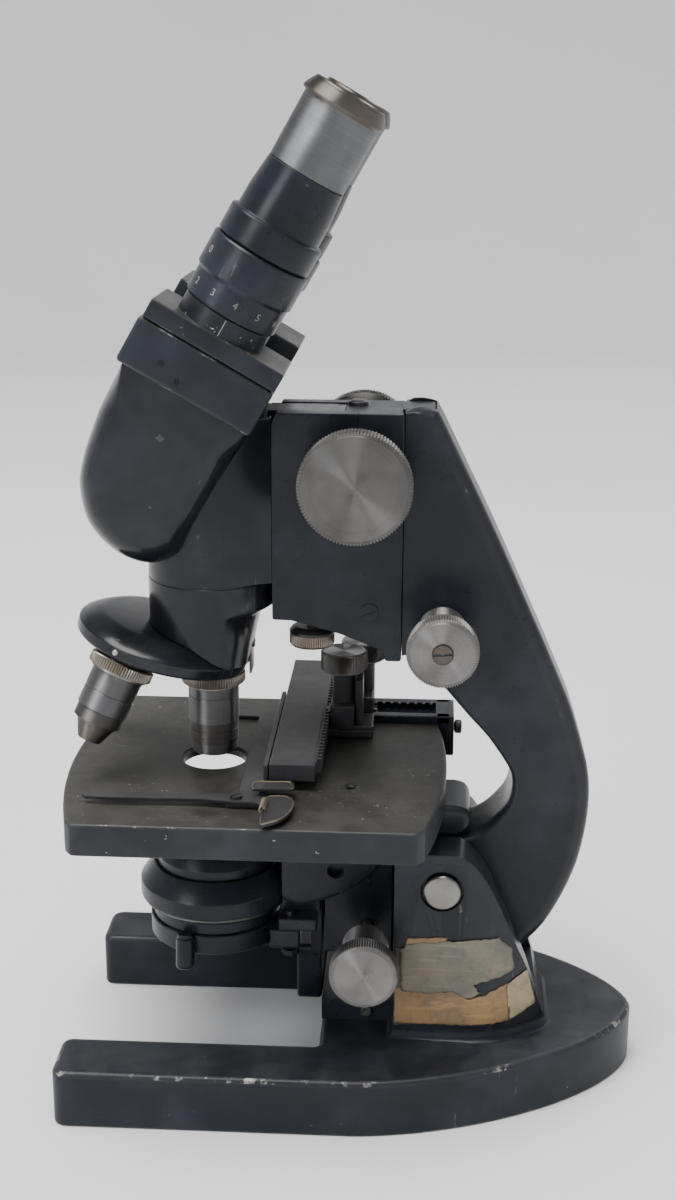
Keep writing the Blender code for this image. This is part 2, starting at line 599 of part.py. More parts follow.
# (name, profile of radius and distance below the apex, lens radius)
OBJECTIVES = (
    ("low", [(9.2, 79.2), (9.2, 92.4), (8.9, 92.6), (8.9, 100.2), (8.4, 100.6), (8.4, 104.0),
             (7.8, 104.6)], 5.0),
    ("high", [(9.2, 79.2), (9.2, 93.0), (8.6, 93.4), (8.6, 97.6), (7.0, 98.4), (4.2, 104.6)], 2.2),
    ("oil", [(9.2, 79.2), (9.2, 92.0), (8.6, 92.4), (8.6, 97.0), (6.6, 98.2), (3.4, 105.0)], 1.8),
)
for index, (tag, low, lens_r) in enumerate(OBJECTIVES):
    m = objective_frame(index)
    tip_r, tip_d = low[-1]
    head = [(8.0, 67.0), (8.0, 74.0), (11.3, 74.0), (11.7, 74.4), (11.7, 78.2), (11.2, 78.8)]
    outer = [(r, -d) for r, d in head + low]
    inner = [(lens_r, -tip_d), (lens_r, -tip_d + 3.0), (6.6, -tip_d + 8.0), (6.6, -67.0)]
    nose_parts.append(turned("objective_" + tag, outer + inner, m, "nickel", 32, closed=True))
    fuse(disc, rod("objective_boss", 10.8, 4.6, m @ Matrix.Translation((0, 0, -73.7 * MM)),
                   steps=28))
for index in range(3):
    m = objective_frame(index)
    cut(disc, rod("objective_seat", 8.5, 40, m @ Matrix.Translation((0, 0, -90 * MM)), steps=28))
ride("nosepiece", *nose_parts)

# ------------------------------------------------------------------ eyepiece tubes
for side, tag in ((-1, "near"), (1, "far")):
    y = side * HALF_PD
    body("tube_" + tag, head_point(-46.0, 0, y), (0, 1, 0))
    ys = (16.0, 47.0) if side > 0 else (-47.0, -16.0)
    slide = box("tube_slide_" + tag, (-22.5, 25.4), ys, (-49.7, -43.2), "black_enamel", 0.6, 1,
                HEAD_PLAN)
    tm = along(TUBE_DIR, head_point(0, 0, y))
    neck = turned("tube_neck_" + tag, [(12.2, -28.0), (14.6, -28.0), (14.6, -37.0), (15.2, -37.2),
                                       (15.2, -45.0), (12.2, -45.0)],
                  tm, "black_enamel", 32, closed=True)
    fuse(slide, neck)
    cut(slide, rod("slide_bore", 12.2, 20, along(TUBE_DIR, head_point(-55, 0, y)), steps=32))
    ride("tube_" + tag, slide)
    body("ring_" + tag, head_point(-25.0, 0, y), TUBE_DIR)
    ring = turned("diopter_ring_" + tag, [(14.9, -15.4), (16.2, -15.4), (16.8, -16.0),
                                          (16.8, -27.4), (15.9, -28.2), (15.9, -36.4),
                                          (14.9, -36.4)],
                  tm, "black_enamel", 32, closed=True)
    ride("ring_" + tag, ring)
    body("drawtube_" + tag, head_point(0, 0, y), TUBE_DIR)
    draw = turned("eyepiece_tube_" + tag, [(12.5, 12.8), (13.3, 12.8), (14.4, 2.0), (14.6, -5.0),
                                           (16.2, -6.0), (16.2, -14.8), (14.5, -15.1),
                                           (14.5, -27.6), (12.5, -27.6)],
                  tm, "black_enamel", 32, closed=True)
    ride("drawtube_" + tag, draw)
    body("ocular_" + tag, head_point(30, 0, y), TUBE_DIR)
    ocular = turned("eyepiece_" + tag, [(9.0, 38.6), (11.4, 39.6), (12.4, 41.0), (13.9, 37.4),
                                        (13.9, 35.6), (13.2, 35.2), (13.2, 13.1), (12.1, 13.1),
                                        (12.1, -20.0), (10.6, -20.0), (10.6, 30.5), (9.0, 31.5)],
                    tm, "nickel", 32, closed=True)
    lens = turned("eye_lens_" + tag, [(0, 37.6), (6.0, 37.0), (8.7, 35.6), (8.7, 32.6),
                                      (0, 32.6)], tm, "glass", 20)
    ride("ocular_" + tag, ocular, lens)

# ------------------------------------------------------------------ body clamp knob
body("clamp_knob", (-17.0, 0, 168), (0, 0, 1))
clamp_knob = turned("body_clamp_knob", [(0, 17.0), (2.0, 17.0), (2.0, 9.0), (6.8, 8.6),
                                        (8.1, 7.2), (8.1, 0.8), (7.4, 0), (0, 0)],
                    along((0, 0, 1), (-17.0, 0, 158.8)), "black_plastic", 28)
ride("clamp_knob", clamp_knob)

# ------------------------------------------------------------------ mechanical stage
body("cross_carriage", (0, 48, 122))
carriage = box("carriage_block", (-11.6, 9.0), (20.0, 59.0), (121.5, 134.0), "stage_black", 0.5)
foot_arm = box("carriage_foot", (-25.0, 5.0), (20.4, 36.0), (118.3, 121.3))
foot_post = box("carriage_post", (-11.2, 4.6), (20.8, 35.6), (120.4, 123.0))
key = box("carriage_key", (-23.5, -18.5), (20.8, 35.6), (120.8, 123.4))
fuse(carriage, foot_post, foot_arm, key)
Y_SHAFT = (-6.85, 28.0)
X_SHAFT = (0.0, 48.0)
cut(carriage, rod("y_well", 7.3, 7.4, along((0, 0, 1), (*Y_SHAFT, 121.9)), steps=24),
    rod("y_bore", 2.7, 40, along((0, 0, 1), (*Y_SHAFT, 120.3)), steps=14),
    rod("x_bore", 2.7, 40, along((0, 0, 1), (*X_SHAFT, 120.9)), steps=14))
ride("cross_carriage", carriage)


def control(name, at, z_low, z_gear, pitch_r, teeth, phase, z_knob):
    """Upright control: pinion at the foot of a shaft with a milled head on top."""
    x, y = at
    m = along((0, 0, 1), (x, y, 0))
    z0, z1 = z_knob
    part = turned(name, [(0, z1), (7.8, z1), (8.8, z1 - 0.8), (8.8, z0 + 1.4), (7.4, z0),
                         (4.0, z0 - 0.4), (3.4, 134.6), (2.4, 134.5), (2.4, z_low), (0, z_low)],
                  m, "nickel", 32)
    g0, g1 = z_gear
    gear = plate(name + "_pinion", gear_outline(pitch_r, teeth, phase), (g1 - g0) / 2,
                 Matrix.Translation((x * MM, y * MM, (g0 + g1) / 2 * MM)))
    return fuse(part, gear)


body("cross_knob", (*Y_SHAFT, 140))
y_knob = control("crosswise_knob", Y_SHAFT, 120.6, (122.3, 127.8), CROSS_PITCH_R, TEETH_LARGE, 180.0,
                 (143.0, 151.0))
ride("cross_knob", y_knob)
body("long_knob", (*X_SHAFT, 140))
x_knob = control("lengthwise_knob", X_SHAFT, 118.4, (118.5, 120.7), LONG_PITCH_R, TEETH_SMALL, 90.0,
                 (141.0, 149.0))
ride("long_knob", x_knob)

body("slide_bar", (-21, 26, 125))
bar = box("cross_bar", (-30.0, -13.6), (-31.0, 83.0), (121.6, 128.0), "stage_black", 0.5)
cut(bar, box("bar_groove", (-23.9, -18.1), (-40, 90), (121, 123.8)))
cross_pitch = math.tau * CROSS_PITCH_R / TEETH_LARGE
bar_rack = plate("cross_rack", rack_outline(108.0, cross_pitch,
                                            28.0 + 28.0 - cross_pitch * 17.5, 0, 0.4), 2.6,
                 Matrix(((0, 1, 0, -13.55 * MM), (1, 0, 0, -28.0 * MM), (0, 0, -1, 125.1 * MM),
                         (0, 0, 0, 1))))
fuse(bar, bar_rack)
holder_outline = ([(-30.3, 46.0), (-49.0, 46.0), (-49.0, 39.0), (-40.3, 38.6), (-40.3, -38.6),
                   (-43.6, -40.2), (-43.6, -47.0), (-24.0, -47.0), (-22.5, -45.0),
                   (-22.5, -40.0), (-24.0, -38.0), (-30.3, -38.0)])
slide_holder = plan_plate("slide_holder", holder_outline[::-1], 118.1, 119.3, "stage_black")
holder_wall = box("holder_wall", (-32.0, -30.4), (-30.8, 45.6), (118.7, 127.4))
fuse(slide_holder, holder_wall)
FINGER_AT = (-40.0, -44.2)
ride("slide_bar", bar, slide_holder)

body("finger", (*FINGER_AT, 120))
finger_outline = smooth_path([(-93.5, -44.6), (-84.0, -41.6), (-66.0, -41.4), (-52.0, -41.6),
                              (-44.0, -41.2)], 2)
finger_low = [(-42.5, -40.6), (-37.6, -41.6), (-37.0, -44.0), (-37.0, -48.6), (-36.0, -50.0)]
thumb = smooth_path([(-22.0, -49.4), (-20.2, -52.0), (-20.6, -58.0), (-27.0, -63.0),
                     (-38.6, -66.6)], 2)
finger_back = [(-40.4, -66.4), (-41.4, -47.6), (-52.0, -46.0), (-70.0, -46.4), (-84.0, -46.6),
               (-92.0, -46.2)]
finger = plan_plate("holder_finger", (finger_outline + finger_low + thumb + finger_back)[::-1],
                    119.6, 120.8, "stage_black")
stud = turned("finger_stud", [(0, 126.4), (2.6, 126.4), (2.6, 121.2), (1.5, 121.2), (1.5, 119.6),
                              (0, 119.6)], along((0, 0, 1), (*FINGER_AT, 0)), "brass", 16)
cut(finger, rod("stud_hole", 1.8, 10, along((0, 0, 1), (*FINGER_AT, 116)), steps=14))
ride("finger", finger)
ride("slide_bar", stud)

# ------------------------------------------------------------------ substage
body("substage", (AXIS_X, 0, 60))
sub_m = along((0, 0, 1), (AXIS_X, 0, 0))
sub_slide = box("substage_slide", (-17.0, -12.5), (-9.6, 9.6), (42.0, 94.0), "black_enamel", 0.6)
sub_tongue = box("sub_tongue", (-13.4, -3.3), (-5.0, 5.0), (52.0, 93.0))
sub_low = box("sub_low", (-22.0, -12.7), (-9.4, 9.4), (24.0, 46.0))
sub_arm = box("sub_arm", (-30.3, -15.0), (-9.3, 9.3), (66.0, 74.0))
carrier = turned("condenser_mount", [(22.4, 76.5), (24.5, 76.5), (28.0, 71.4), (28.5, 70.4),
                                     (28.5, 64.6), (22.4, 64.6)], sub_m, "black_enamel", 48,
                 closed=True)
fuse(sub_slide, sub_tongue, sub_low, sub_arm, carrier)
sub_pitch = math.tau * SUB_PITCH_R / TEETH_SMALL
sub_rack = plate("substage_rack", rack_outline(40.0, sub_pitch, 56.0 - 52.0 - sub_pitch * 0.5,
                                               0, 1.6), 4.6,
                 Matrix(((0, 1, 0, (4.4 - SUB_PITCH_R - 0.75) * MM),
                         (0, 0, 1, 0), (1, 0, 0, 52.0 * MM), (0, 0, 0, 1))), "brass")
cond = turned("condenser_body", [(9.5, 103.5), (12.0, 103.5), (13.5, 101.5), (15.5, 88.0),
                                 (19.5, 86.0), (22.1, 81.0), (22.1, 64.3), (24.0, 64.3),
                                 (24.0, 57.2), (18.5, 57.2), (18.5, 80.0), (12.0, 92.0),
                                 (9.5, 96.0)], sub_m, "nickel", 40, closed=True)
cond_lens = turned("condenser_lens", [(0, 104.0), (6.0, 103.6), (9.2, 102.6), (9.2, 96.6),
                                      (0, 96.6)], sub_m, "glass", 24)
iris = turned("iris_diaphragm", [(5.5, 70.0), (18.2, 70.0), (18.2, 68.8), (5.5, 68.8)],
              sub_m, "steel", 28, closed=True)
ride("substage", sub_slide, sub_rack, cond, cond_lens, iris)

body("filter_arm", (-24.0, -16.0, 52), (0, 0, 1))
ring = turned("filter_carrier", [(19.0, 56.9), (25.0, 56.9), (25.0, 49.4), (18.0, 49.4),
                                 (18.0, 51.0), (19.0, 51.0)], sub_m, "black_enamel", 40,
              closed=True)
arm_link = box("filter_link", (-31.5, -20.5), (-18.5, -12.0), (49.4, 56.9))
arm_knob = rod("filter_stub", 3.4, 13.0, along((-0.45, -0.88, -0.1), (-63.2, -21.0, 53.0)),
               steps=16, chamfer=1.2)
fuse(ring, arm_link, arm_knob)
cut(ring, rod("filter_pivot_hole", 2.0, 30, along((0, 0, 1), (-24.0, -16.0, 40)), steps=12))
filter_pin = turned("filter_pivot", [(0, 64.0), (1.6, 64.0), (1.6, 48.8), (3.2, 48.8),
                                     (3.2, 46.8), (0, 46.8)],
                    along((0, 0, 1), (-24.0, -16.0, 0)), "steel", 14)
pin_lug = box("pin_lug", (-28.0, -14.0), (-19.6, -7.0), (57.3, 62.0))
fuse(sub_slide, pin_lug)
cut(sub_slide, rod("pin_hole", 1.9, 8.0, along((0, 0, 1), (-24.0, -16.0, 56.8)), steps=12))
ride("filter_arm", ring)
ride("substage", filter_pin)

body("substage_knob", (4.4, 0, 56.0), (0, 1, 0))
sub_shaft = turned("substage_shaft", [(0, 50), (2.4, 50), (2.4, 0), (0, 0)],
                   along((0, 1, 0), (4.4, -38.0, 56.0)), "steel", 14)
sub_gear = plate("sub_gear", gear_outline(SUB_PITCH_R, TEETH_SMALL, 180.0), 4.6,
                 Matrix.Translation((4.4 * MM, 0, 56.0 * MM)) @ SIDE)
fuse(sub_shaft, sub_gear)
sub_knob = knob("substage_knob", 12.2, -49.7, -26.0, 4.4, 56.0, bore=2.8)
ride("substage_knob", sub_shaft, sub_knob)
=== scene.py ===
"""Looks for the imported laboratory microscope: detailed pieces, materials, light and camera.

Lengths in the builders are millimetres in the model's own frame; meshes are written in metres.
"""
import math
import random

import bmesh
import bpy
import numpy as np
from mathutils import Matrix, Vector


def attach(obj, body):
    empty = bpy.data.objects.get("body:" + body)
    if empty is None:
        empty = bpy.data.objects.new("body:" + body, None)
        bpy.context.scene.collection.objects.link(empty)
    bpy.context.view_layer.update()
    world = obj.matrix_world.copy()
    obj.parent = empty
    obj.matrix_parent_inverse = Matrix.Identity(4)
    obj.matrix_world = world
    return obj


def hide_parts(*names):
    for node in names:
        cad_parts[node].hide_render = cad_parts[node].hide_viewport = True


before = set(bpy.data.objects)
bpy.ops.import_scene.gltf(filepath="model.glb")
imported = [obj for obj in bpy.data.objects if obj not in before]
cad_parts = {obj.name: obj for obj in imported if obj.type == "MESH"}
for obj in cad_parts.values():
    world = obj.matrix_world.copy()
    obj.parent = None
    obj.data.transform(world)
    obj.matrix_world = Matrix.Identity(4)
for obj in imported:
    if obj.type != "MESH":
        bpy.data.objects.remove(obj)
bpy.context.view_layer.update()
MM = 0.001
TAU = math.tau

# ---------------- dimensions shared with the model
FOOT_FRONT, FOOT_REAR, FOOT_HALF, LEG_INNER, FOOT_H, CROTCH_X = -105.5, 104.5, 62.0, 37.8, 21.5, -12.0
YOKE_HALF, YOKE_FRONT_HALF, YOKE_SLOT, YOKE_TOP = 31.0, 20.0, 14.5, 94.8
PIVOT_X, PIVOT_Z = 31.5, 80.7
SEAM_X = 15.3
FINE_X, FINE_Z, FINE_R = 29.6, 173.8, 12.3
COARSE_X, COARSE_Z, COARSE_R = -0.3, 229.0, 19.2
STAGE_TOP, STAGE_T, STAGE_HALF = 117.8, 11.6, 63.7
STAGE_LEFT, STAGE_RIGHT, STAGE_BULGE = -96.5, 25.0, 7.5
AXIS_X, NOSE_R = -53.0, 22.5
TURRET_TILT = math.radians(16.0)
TURRET_AT, TURRET_R, APEX_Z = (-71.6, 0.0, 160.9), 31.4, 225.8
HEAD_TILT, HEAD_O, HALF_PD = math.radians(30.0), (-23.0, 316.7), 31.0
ARM_HALF, SLIDE_HALF = 14.0, 8.4
SIDES = ((-1, "near"), (1, "far"))
PIVOT_BORE, SHAFT_BORE, BOLT_XS = 5.4, 3.3, (10.0, 56.0)
CLAMP_X, FINGER_AT, CROSS_HEAD_AT, LONG_HEAD_AT = -17.0, (-40.0, -44.2), (-6.85, 28.0), (0.0, 48.0)
RACK_PITCH, BAR_PITCH = math.pi, TAU * 6.0 / 12


# ---------------- frames
def along(direction, at):
    """Frame in millimetres whose local +Z points along a direction."""
    turn = Vector(direction).normalized().to_track_quat("Z", "Y").to_matrix().to_4x4()
    return Matrix.Translation(Vector(at)) @ turn


def moved_to(x, y=0.0, z=0.0):
    return Matrix.Translation((x, y, z))


def shaft_frame(x, z, y=0.0, side=1):
    """Frame on a cross shaft at X and Z, with local +Z towards the far (1) or the near side (-1)."""
    return along((0, side, 0), (x, y, z))


# the plain frame, the side view, and the head tilted with its tubes (from the side, and with Z up the tubes)
UP = Matrix.Identity(4)
SIDE = Matrix(((1, 0, 0, 0), (0, 0, -1, 0), (0, 1, 0, 0), (0, 0, 0, 1)))
S30, C30 = math.sin(HEAD_TILT), math.cos(HEAD_TILT)
HEAD_SIDE = Matrix(((C30, S30, 0, HEAD_O[0]), (0, 0, -1, 0), (-S30, C30, 0, HEAD_O[1]), (0, 0, 0, 1)))
HEAD_PLAN = Matrix(((C30, 0, S30, HEAD_O[0]), (0, 1, 0, 0), (-S30, 0, C30, HEAD_O[1]), (0, 0, 0, 1)))
TURRET_AXIS = Vector((-math.sin(TURRET_TILT), 0.0, -math.cos(TURRET_TILT)))
TURRET_M = along(-TURRET_AXIS, TURRET_AT)
OPTICAL_M = moved_to(AXIS_X)


# ---------------- outlines and profiles
def arc(cx, cy, r, a0, a1, count):
    step = math.radians(a1 - a0) / (count - 1)
    return [(cx + r * math.cos(math.radians(a0) + i * step),
             cy + r * math.sin(math.radians(a0) + i * step)) for i in range(count)]


def smooth_path(points, per=6):
    """Catmull-Rom points through the given ones."""
    out, n = [], len(points)
    for i in range(n - 1):
        p0, p1, p2, p3 = points[max(i - 1, 0)], points[i], points[i + 1], points[min(i + 2, n - 1)]
        for k in range(per):
            t = k / per
            out.append(tuple(0.5 * (2 * b + (c - a) * t + (2 * a - 5 * b + 4 * c - d) * t * t
                + (3 * b - a - 3 * c + d) * t ** 3) for a, b, c, d in zip(p0, p1, p2, p3)))
    out.append(points[-1])
    return out


def fillet(points, radius=0.4, n=3, closed=True, convex=1):
    """Round a polyline's corners; rows are (x, y) or (x, y, own radius). Gives (x, y, wear)."""
    rows, count = [], len(points)
    for i, point in enumerate(points):
        p = Vector(point[:2])
        r = point[2] if len(point) > 2 else radius
        if not closed and i in (0, count - 1):
            rows.append((p.x, p.y, 0.0))
            continue
        a, b = Vector(points[i - 1][:2]) - p, Vector(points[(i + 1) % count][:2]) - p
        shortest = min(a.length, b.length)
        a.normalize()
        b.normalize()
        turn = math.pi - a.angle(b)
        if turn < 0.3 or r <= 0:
            rows.append((p.x, p.y, 0.0))
            continue
        t = min(r * math.tan(turn / 2), 0.42 * shortest)
        guard = min(0.7, 0.48 * shortest - t)
        bulge = (-a.x * b.y + a.y * b.x) * convex
        worn = 1.0 if bulge > 0 else -0.5
        if guard > 0.03:
            rows.append((*(p + a * (t + guard)), 0.0))
        for k in range(n + 1):
            u = k / n
            q = (p + a * t) * (1 - u) ** 2 + p * 2 * u * (1 - u) + (p + b * t) * u * u
            rows.append((q.x, q.y, worn * (0.4 + 0.6 * math.sin(math.pi * u))))
        if guard > 0.03:
            rows.append((*(p + b * (t + guard)), 0.0))
    return rows


def softened(points, radius, n):
    """Closed outline with rounded corners."""
    return [(x, y) for x, y, wear in fillet(points, radius, n)]


def offset(points, amount):
    """Closed outline pushed inwards by an amount (counter-clockwise points)."""
    p = np.array(points, float)[:, :2]
    d = np.roll(p, -1, 0) - np.roll(p, 1, 0)
    d /= np.maximum(np.linalg.norm(d, axis=1), 1e-9)[:, None]
    q = p - np.stack([d[:, 1], -d[:, 0]], 1) * amount
    for _ in range(12):
        flipped = np.sum((np.roll(q, -1, 0) - q) * (np.roll(p, -1, 0) - p), axis=1) < 0
        if not flipped.any():
            break
        middle = (q + np.roll(q, -1, 0)) / 2
        q = np.where(flipped[:, None], middle, q)
        q = np.where(np.roll(flipped, 1)[:, None], np.roll(middle, 1, 0), q)
    return q


def rim_rings(z, r, n, guard, sign, worn=None):
    """Rings (inset, z, wear) round one rim, from the flat face at z to the upright side."""
    rings = [(r + guard, z, 0.0)]
    for k in range(n + 1):
        a = math.pi / 2 * k / n
        wear = worn(k / n) if worn else (0.4 if k in (0, n) else 1.0)
        rings.append((r * (1 - math.sin(a)), z + sign * r * (1 - math.cos(a)), wear))
    return rings + [(0.0, z + sign * (r + guard), 0.0)]


def ccw(points):
    p = np.array([q[:2] for q in points], float)
    area = np.sum(p[:, 0] * np.roll(p[:, 1], -1) - p[:, 1] * np.roll(p[:, 0], -1))
    return list(points) if area > 0 else list(points)[::-1]


# ---------------- closed shells
class Shape:
    """Closed shells gathered into one mesh, with an edge-wear value at each point."""

    def __init__(self):
        self.verts, self.faces, self.wear = [], [], []

    def shell(self, verts, faces, wear, matrix=UP):
        start = len(self.verts)
        m = np.array(matrix, float)
        self.verts += (np.array(verts, float) @ m[:3, :3].T + m[:3, 3]).tolist()
        self.faces += [tuple(i + start for i in f) for f in faces]
        self.wear += list(wear)
        return self

    def lathe(self, rows, matrix=UP, seg=96, knurl=None, soft=0.35, closed=False, n=3):
        """Turned solid; rows of (r, z) run from the top down the outer side.

        A knurl is (z low, z high, teeth, depth).
        """
        rows = fillet(rows, soft, n, closed, -1) if soft else [(*r[:2], 0.0) for r in rows]
        if knurl:
            seg = 2 * knurl[2]
        verts, wear, index = [], [], []
        for r, z, w in rows:
            if r < 1e-6:
                index.append([len(verts)] * seg)
                verts.append((0, 0, z))
                wear.append(0.0)
                continue
            index.append(list(range(len(verts), len(verts) + seg)))
            cut = knurl and knurl[0] <= z <= knurl[1] and r > max(q[0] for q in rows) - 0.95
            for k in range(seg):
                a = TAU * k / seg
                rr = r - knurl[3] if cut and k % 2 else r
                verts.append((rr * math.cos(a), rr * math.sin(a), z))
                wear.append((-1.0 if k % 2 else 0.5) if cut else w)
        faces = []
        last = len(rows) if closed else len(rows) - 1
        for i in range(last):
            a, b = index[i], index[(i + 1) % len(rows)]
            for k in range(seg):
                j = (k + 1) % seg
                f = [a[k], b[k], b[j], a[j]]
                faces.append(tuple(dict.fromkeys(f)))
        return self.shell(verts, faces, wear, matrix)

    def loft(self, rows, wear, matrix=UP):
        """Solid through rows of equally many points, from the top down, with flat ends."""
        n, last = len(rows[0]), len(rows) - 1
        faces = [tuple(range(n))]
        faces += [(i * n + k, (i + 1) * n + k, (i + 1) * n + (k + 1) % n, i * n + (k + 1) % n)
                  for i in range(last) for k in range(n)]
        faces.append(tuple(range((last + 1) * n - 1, last * n - 1, -1)))
        return self.shell([p for row in rows for p in row], faces, wear, matrix)

    def stack(self, outline, rings, matrix=UP):
        """Solid through offset copies of an outline; rings: (inset, z, wear) from the top down."""
        pts = ccw(outline)
        rows = [[(x, y, z) for x, y in offset(pts, inset)] for inset, z, worn in rings]
        return self.loft(rows, [worn for inset, z, worn in rings for p in pts], matrix)

    def slab(self, outline, z0, z1, matrix=UP, top=0.5, low=None, n=3, guard=0.7):
        """Flat solid with rounded rims, of radius top and low."""
        low = top if low is None else low
        rings = rim_rings(z1, top, n, guard, -1) + rim_rings(z0, low, n, guard, 1)[::-1]
        return self.stack(outline, rings, matrix)

    def block(self, xs, ys, zs, r=0.5, matrix=UP, n=3):
        """Box with rounded edges and corners."""
        r = min(r, 0.24 * min(b - a for a, b in (xs, ys, zs)))
        guard = min(0.6, 0.2 * min(b - a for a, b in (xs, ys, zs)))
        (x0, x1), (y0, y1), (z0, z1) = xs, ys, zs
        rings = rim_rings(z1, r, n, guard, -1)
        rings += [(inset, z0 + z1 - z, worn) for inset, z, worn in rings[::-1]]
        rows = []
        for inset, z, worn in rings:
            q = max(r - inset, 0.02 * r)
            row = []
            for cx, cy, a in ((x1, y1, 0), (x0, y1, 90), (x0, y0, 180), (x1, y0, 270)):
                cx += -inset - q if cx == x1 else inset + q
                cy += -inset - q if cy == y1 else inset + q
                row += [(x, y, z) for x, y in arc(cx, cy, q, a, a + 90, n + 1)]
            rows.append(row)
        return self.loft(rows, [worn for inset, z, worn in rings for p in rows[0]], matrix)

    def tube(self, path, r, seg=10, wear=0.2):
        """Round wire along a path, with flat ends."""
        path = [Vector(p) for p in path]
        verts, faces = [], []
        side = None
        for i, p in enumerate(path):
            d = (path[min(i + 1, len(path) - 1)] - path[max(i - 1, 0)]).normalized()
            side = (side - d * side.dot(d)).normalized() if side else d.orthogonal().normalized()
            across = d.cross(side)
            verts += [tuple(p + side * r * math.cos(TAU * k / seg) + across * r * math.sin(TAU * k / seg))
                      for k in range(seg)]
        for i in range(len(path) - 1):
            for k in range(seg):
                j = (k + 1) % seg
                faces.append((i * seg + k, i * seg + j, (i + 1) * seg + j, (i + 1) * seg + k))
        faces.append(tuple(range(seg - 1, -1, -1)))
        faces.append(tuple(range((len(path) - 1) * seg, len(path) * seg)))
        return self.shell(verts, faces, [wear] * len(verts))

    def screw_head(self, r, height, slot_w, turn, matrix):
        """Cheese head with a cut slot, facing local +Z."""
        base = height * 0.45
        self.lathe([(0, base), (r, base), (r, 0), (0, 0)], matrix, 40, soft=0)
        a = math.degrees(math.asin(slot_w / 2 / r))
        spin = Matrix.Rotation(math.radians(turn), 4, "Z")
        for flip in (0, 180):
            half = arc(0, 0, r, a + flip, 180 - a + flip, 18)
            self.slab(half, base - 0.02, height, matrix @ spin, 0.12, 0.0, 2, 0.05)
        return self

    def digits(self, text, radius, size, angle, height, matrix):
        """Raised digits or marks wrapped round a turned surface; angle in degrees about local Z."""
        curve = bpy.data.curves.new("digit", "FONT")
        curve.body, curve.size, curve.extrude = text, size, 0.06
        curve.align_x, curve.align_y = "CENTER", "CENTER"
        guide = bpy.data.objects.new("digit", curve)
        bpy.context.scene.collection.objects.link(guide)
        bpy.context.view_layer.update()
        mesh = bpy.data.meshes.new_from_object(guide.evaluated_get(bpy.context.evaluated_depsgraph_get()))
        bm = bmesh.new()
        bm.from_mesh(mesh)
        bmesh.ops.remove_doubles(bm, verts=bm.verts, dist=1e-5)
        verts = []
        for v in bm.verts:
            a = math.radians(angle) + v.co.x / radius
            r = radius + v.co.z
            verts.append((r * math.cos(a), r * math.sin(a), height + v.co.y))
        faces = [[v.index for v in f.verts] for f in bm.faces]
        bm.free()
        bpy.data.objects.remove(guide, do_unlink=True)
        bpy.data.meshes.remove(mesh)
        return self.shell(verts, faces, [0.0] * len(verts), matrix)


def rod(r, top, bottom, matrix=UP, seg=32):
    """Plain cylinder along local Z, mostly the cutter of a bore."""
    return Shape().lathe([(0, top), (r, top), (r, bottom), (0, bottom)], matrix, seg, soft=0)


def prism(outline, low, high, matrix=UP):
    return Shape().stack(outline, [(0, high, 0), (0, low, 0)], matrix)


def channel(x0, x1, half, low, high):
    """Square cutter that runs along Z."""
    return prism([(x0, -half), (x1, -half), (x1, half), (x0, half)], low, high)


def ob_from(name, shape, mat=None, smooth=35.0):
    mesh = bpy.data.meshes.new(name)
    mesh.from_pydata((np.array(shape.verts) * MM).tolist(), [], shape.faces)
    worn = mesh.attributes.new("_WEAR", "FLOAT", "POINT")
    worn.data.foreach_set("value", np.array(shape.wear, np.float32))
    if mat:
        mesh.materials.append(mat)
    mesh.update()
    mesh.shade_smooth()
    mesh.set_sharp_from_angle(angle=math.radians(smooth))
    ob = bpy.data.objects.new(name, mesh)
    bpy.context.scene.collection.objects.link(ob)
    return ob


def seat(ob, body, slot, *nodes):
    """Attach a finished piece to its body and hide the CAD nodes it stands for; the slot argument is not
    used.
    """
    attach(ob, body)
    if nodes:
        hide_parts(*nodes)
    return ob


def piece(name, shape, body, slot, mat, *nodes, smooth=35.0):
    return seat(ob_from(name, shape, mat, smooth), body, slot, *nodes)


def turned_piece(name, shape, body, slot, mat, matrix, *nodes):
    """Piece whose own axes follow its turning axis, so turned marks run round it."""
    local = Shape()
    inverse = np.array(matrix.inverted(), float)
    local.verts = (np.array(shape.verts) @ inverse[:3, :3].T + inverse[:3, 3]).tolist()
    local.faces, local.wear = shape.faces, shape.wear
    ob = ob_from(name, local, mat)
    place = matrix.copy()
    place.translation = place.translation * MM
    ob.matrix_world = place
    return seat(ob, body, slot, *nodes)


def ring_piece(name, rows, matrix, body, slot, mat, *nodes, seg=96, soft=0.2, knurl=None):
    """Turned ring with a closed profile."""
    shape = Shape().lathe(rows, matrix, seg, knurl, soft, closed=True)
    return turned_piece(name, shape, body, slot, mat, matrix, *nodes)


def settle(ob):
    """Replace an object's mesh by its evaluated one and drop the modifiers."""
    bpy.context.view_layer.update()
    graph = bpy.context.evaluated_depsgraph_get()
    mesh = bpy.data.meshes.new_from_object(ob.evaluated_get(graph), preserve_all_data_layers=True,
        depsgraph=graph)
    ob.modifiers.clear()
    old, ob.data = ob.data, mesh
    bpy.data.meshes.remove(old)


def carve(ob, *shapes, operation="DIFFERENCE"):
    """Cut closed shapes from a piece, or keep only what lies in them."""
    cutters = [ob_from(ob.name + "_cutter", shape) for shape in shapes]
    for cutter in cutters:
        mod = ob.modifiers.new("cut", "BOOLEAN")
        mod.operation, mod.solver, mod.object = operation, "EXACT", cutter
    settle(ob)
    for cutter in cutters:
        bpy.data.objects.remove(cutter, do_unlink=True)
    ob.data.set_sharp_from_angle(angle=math.radians(35))


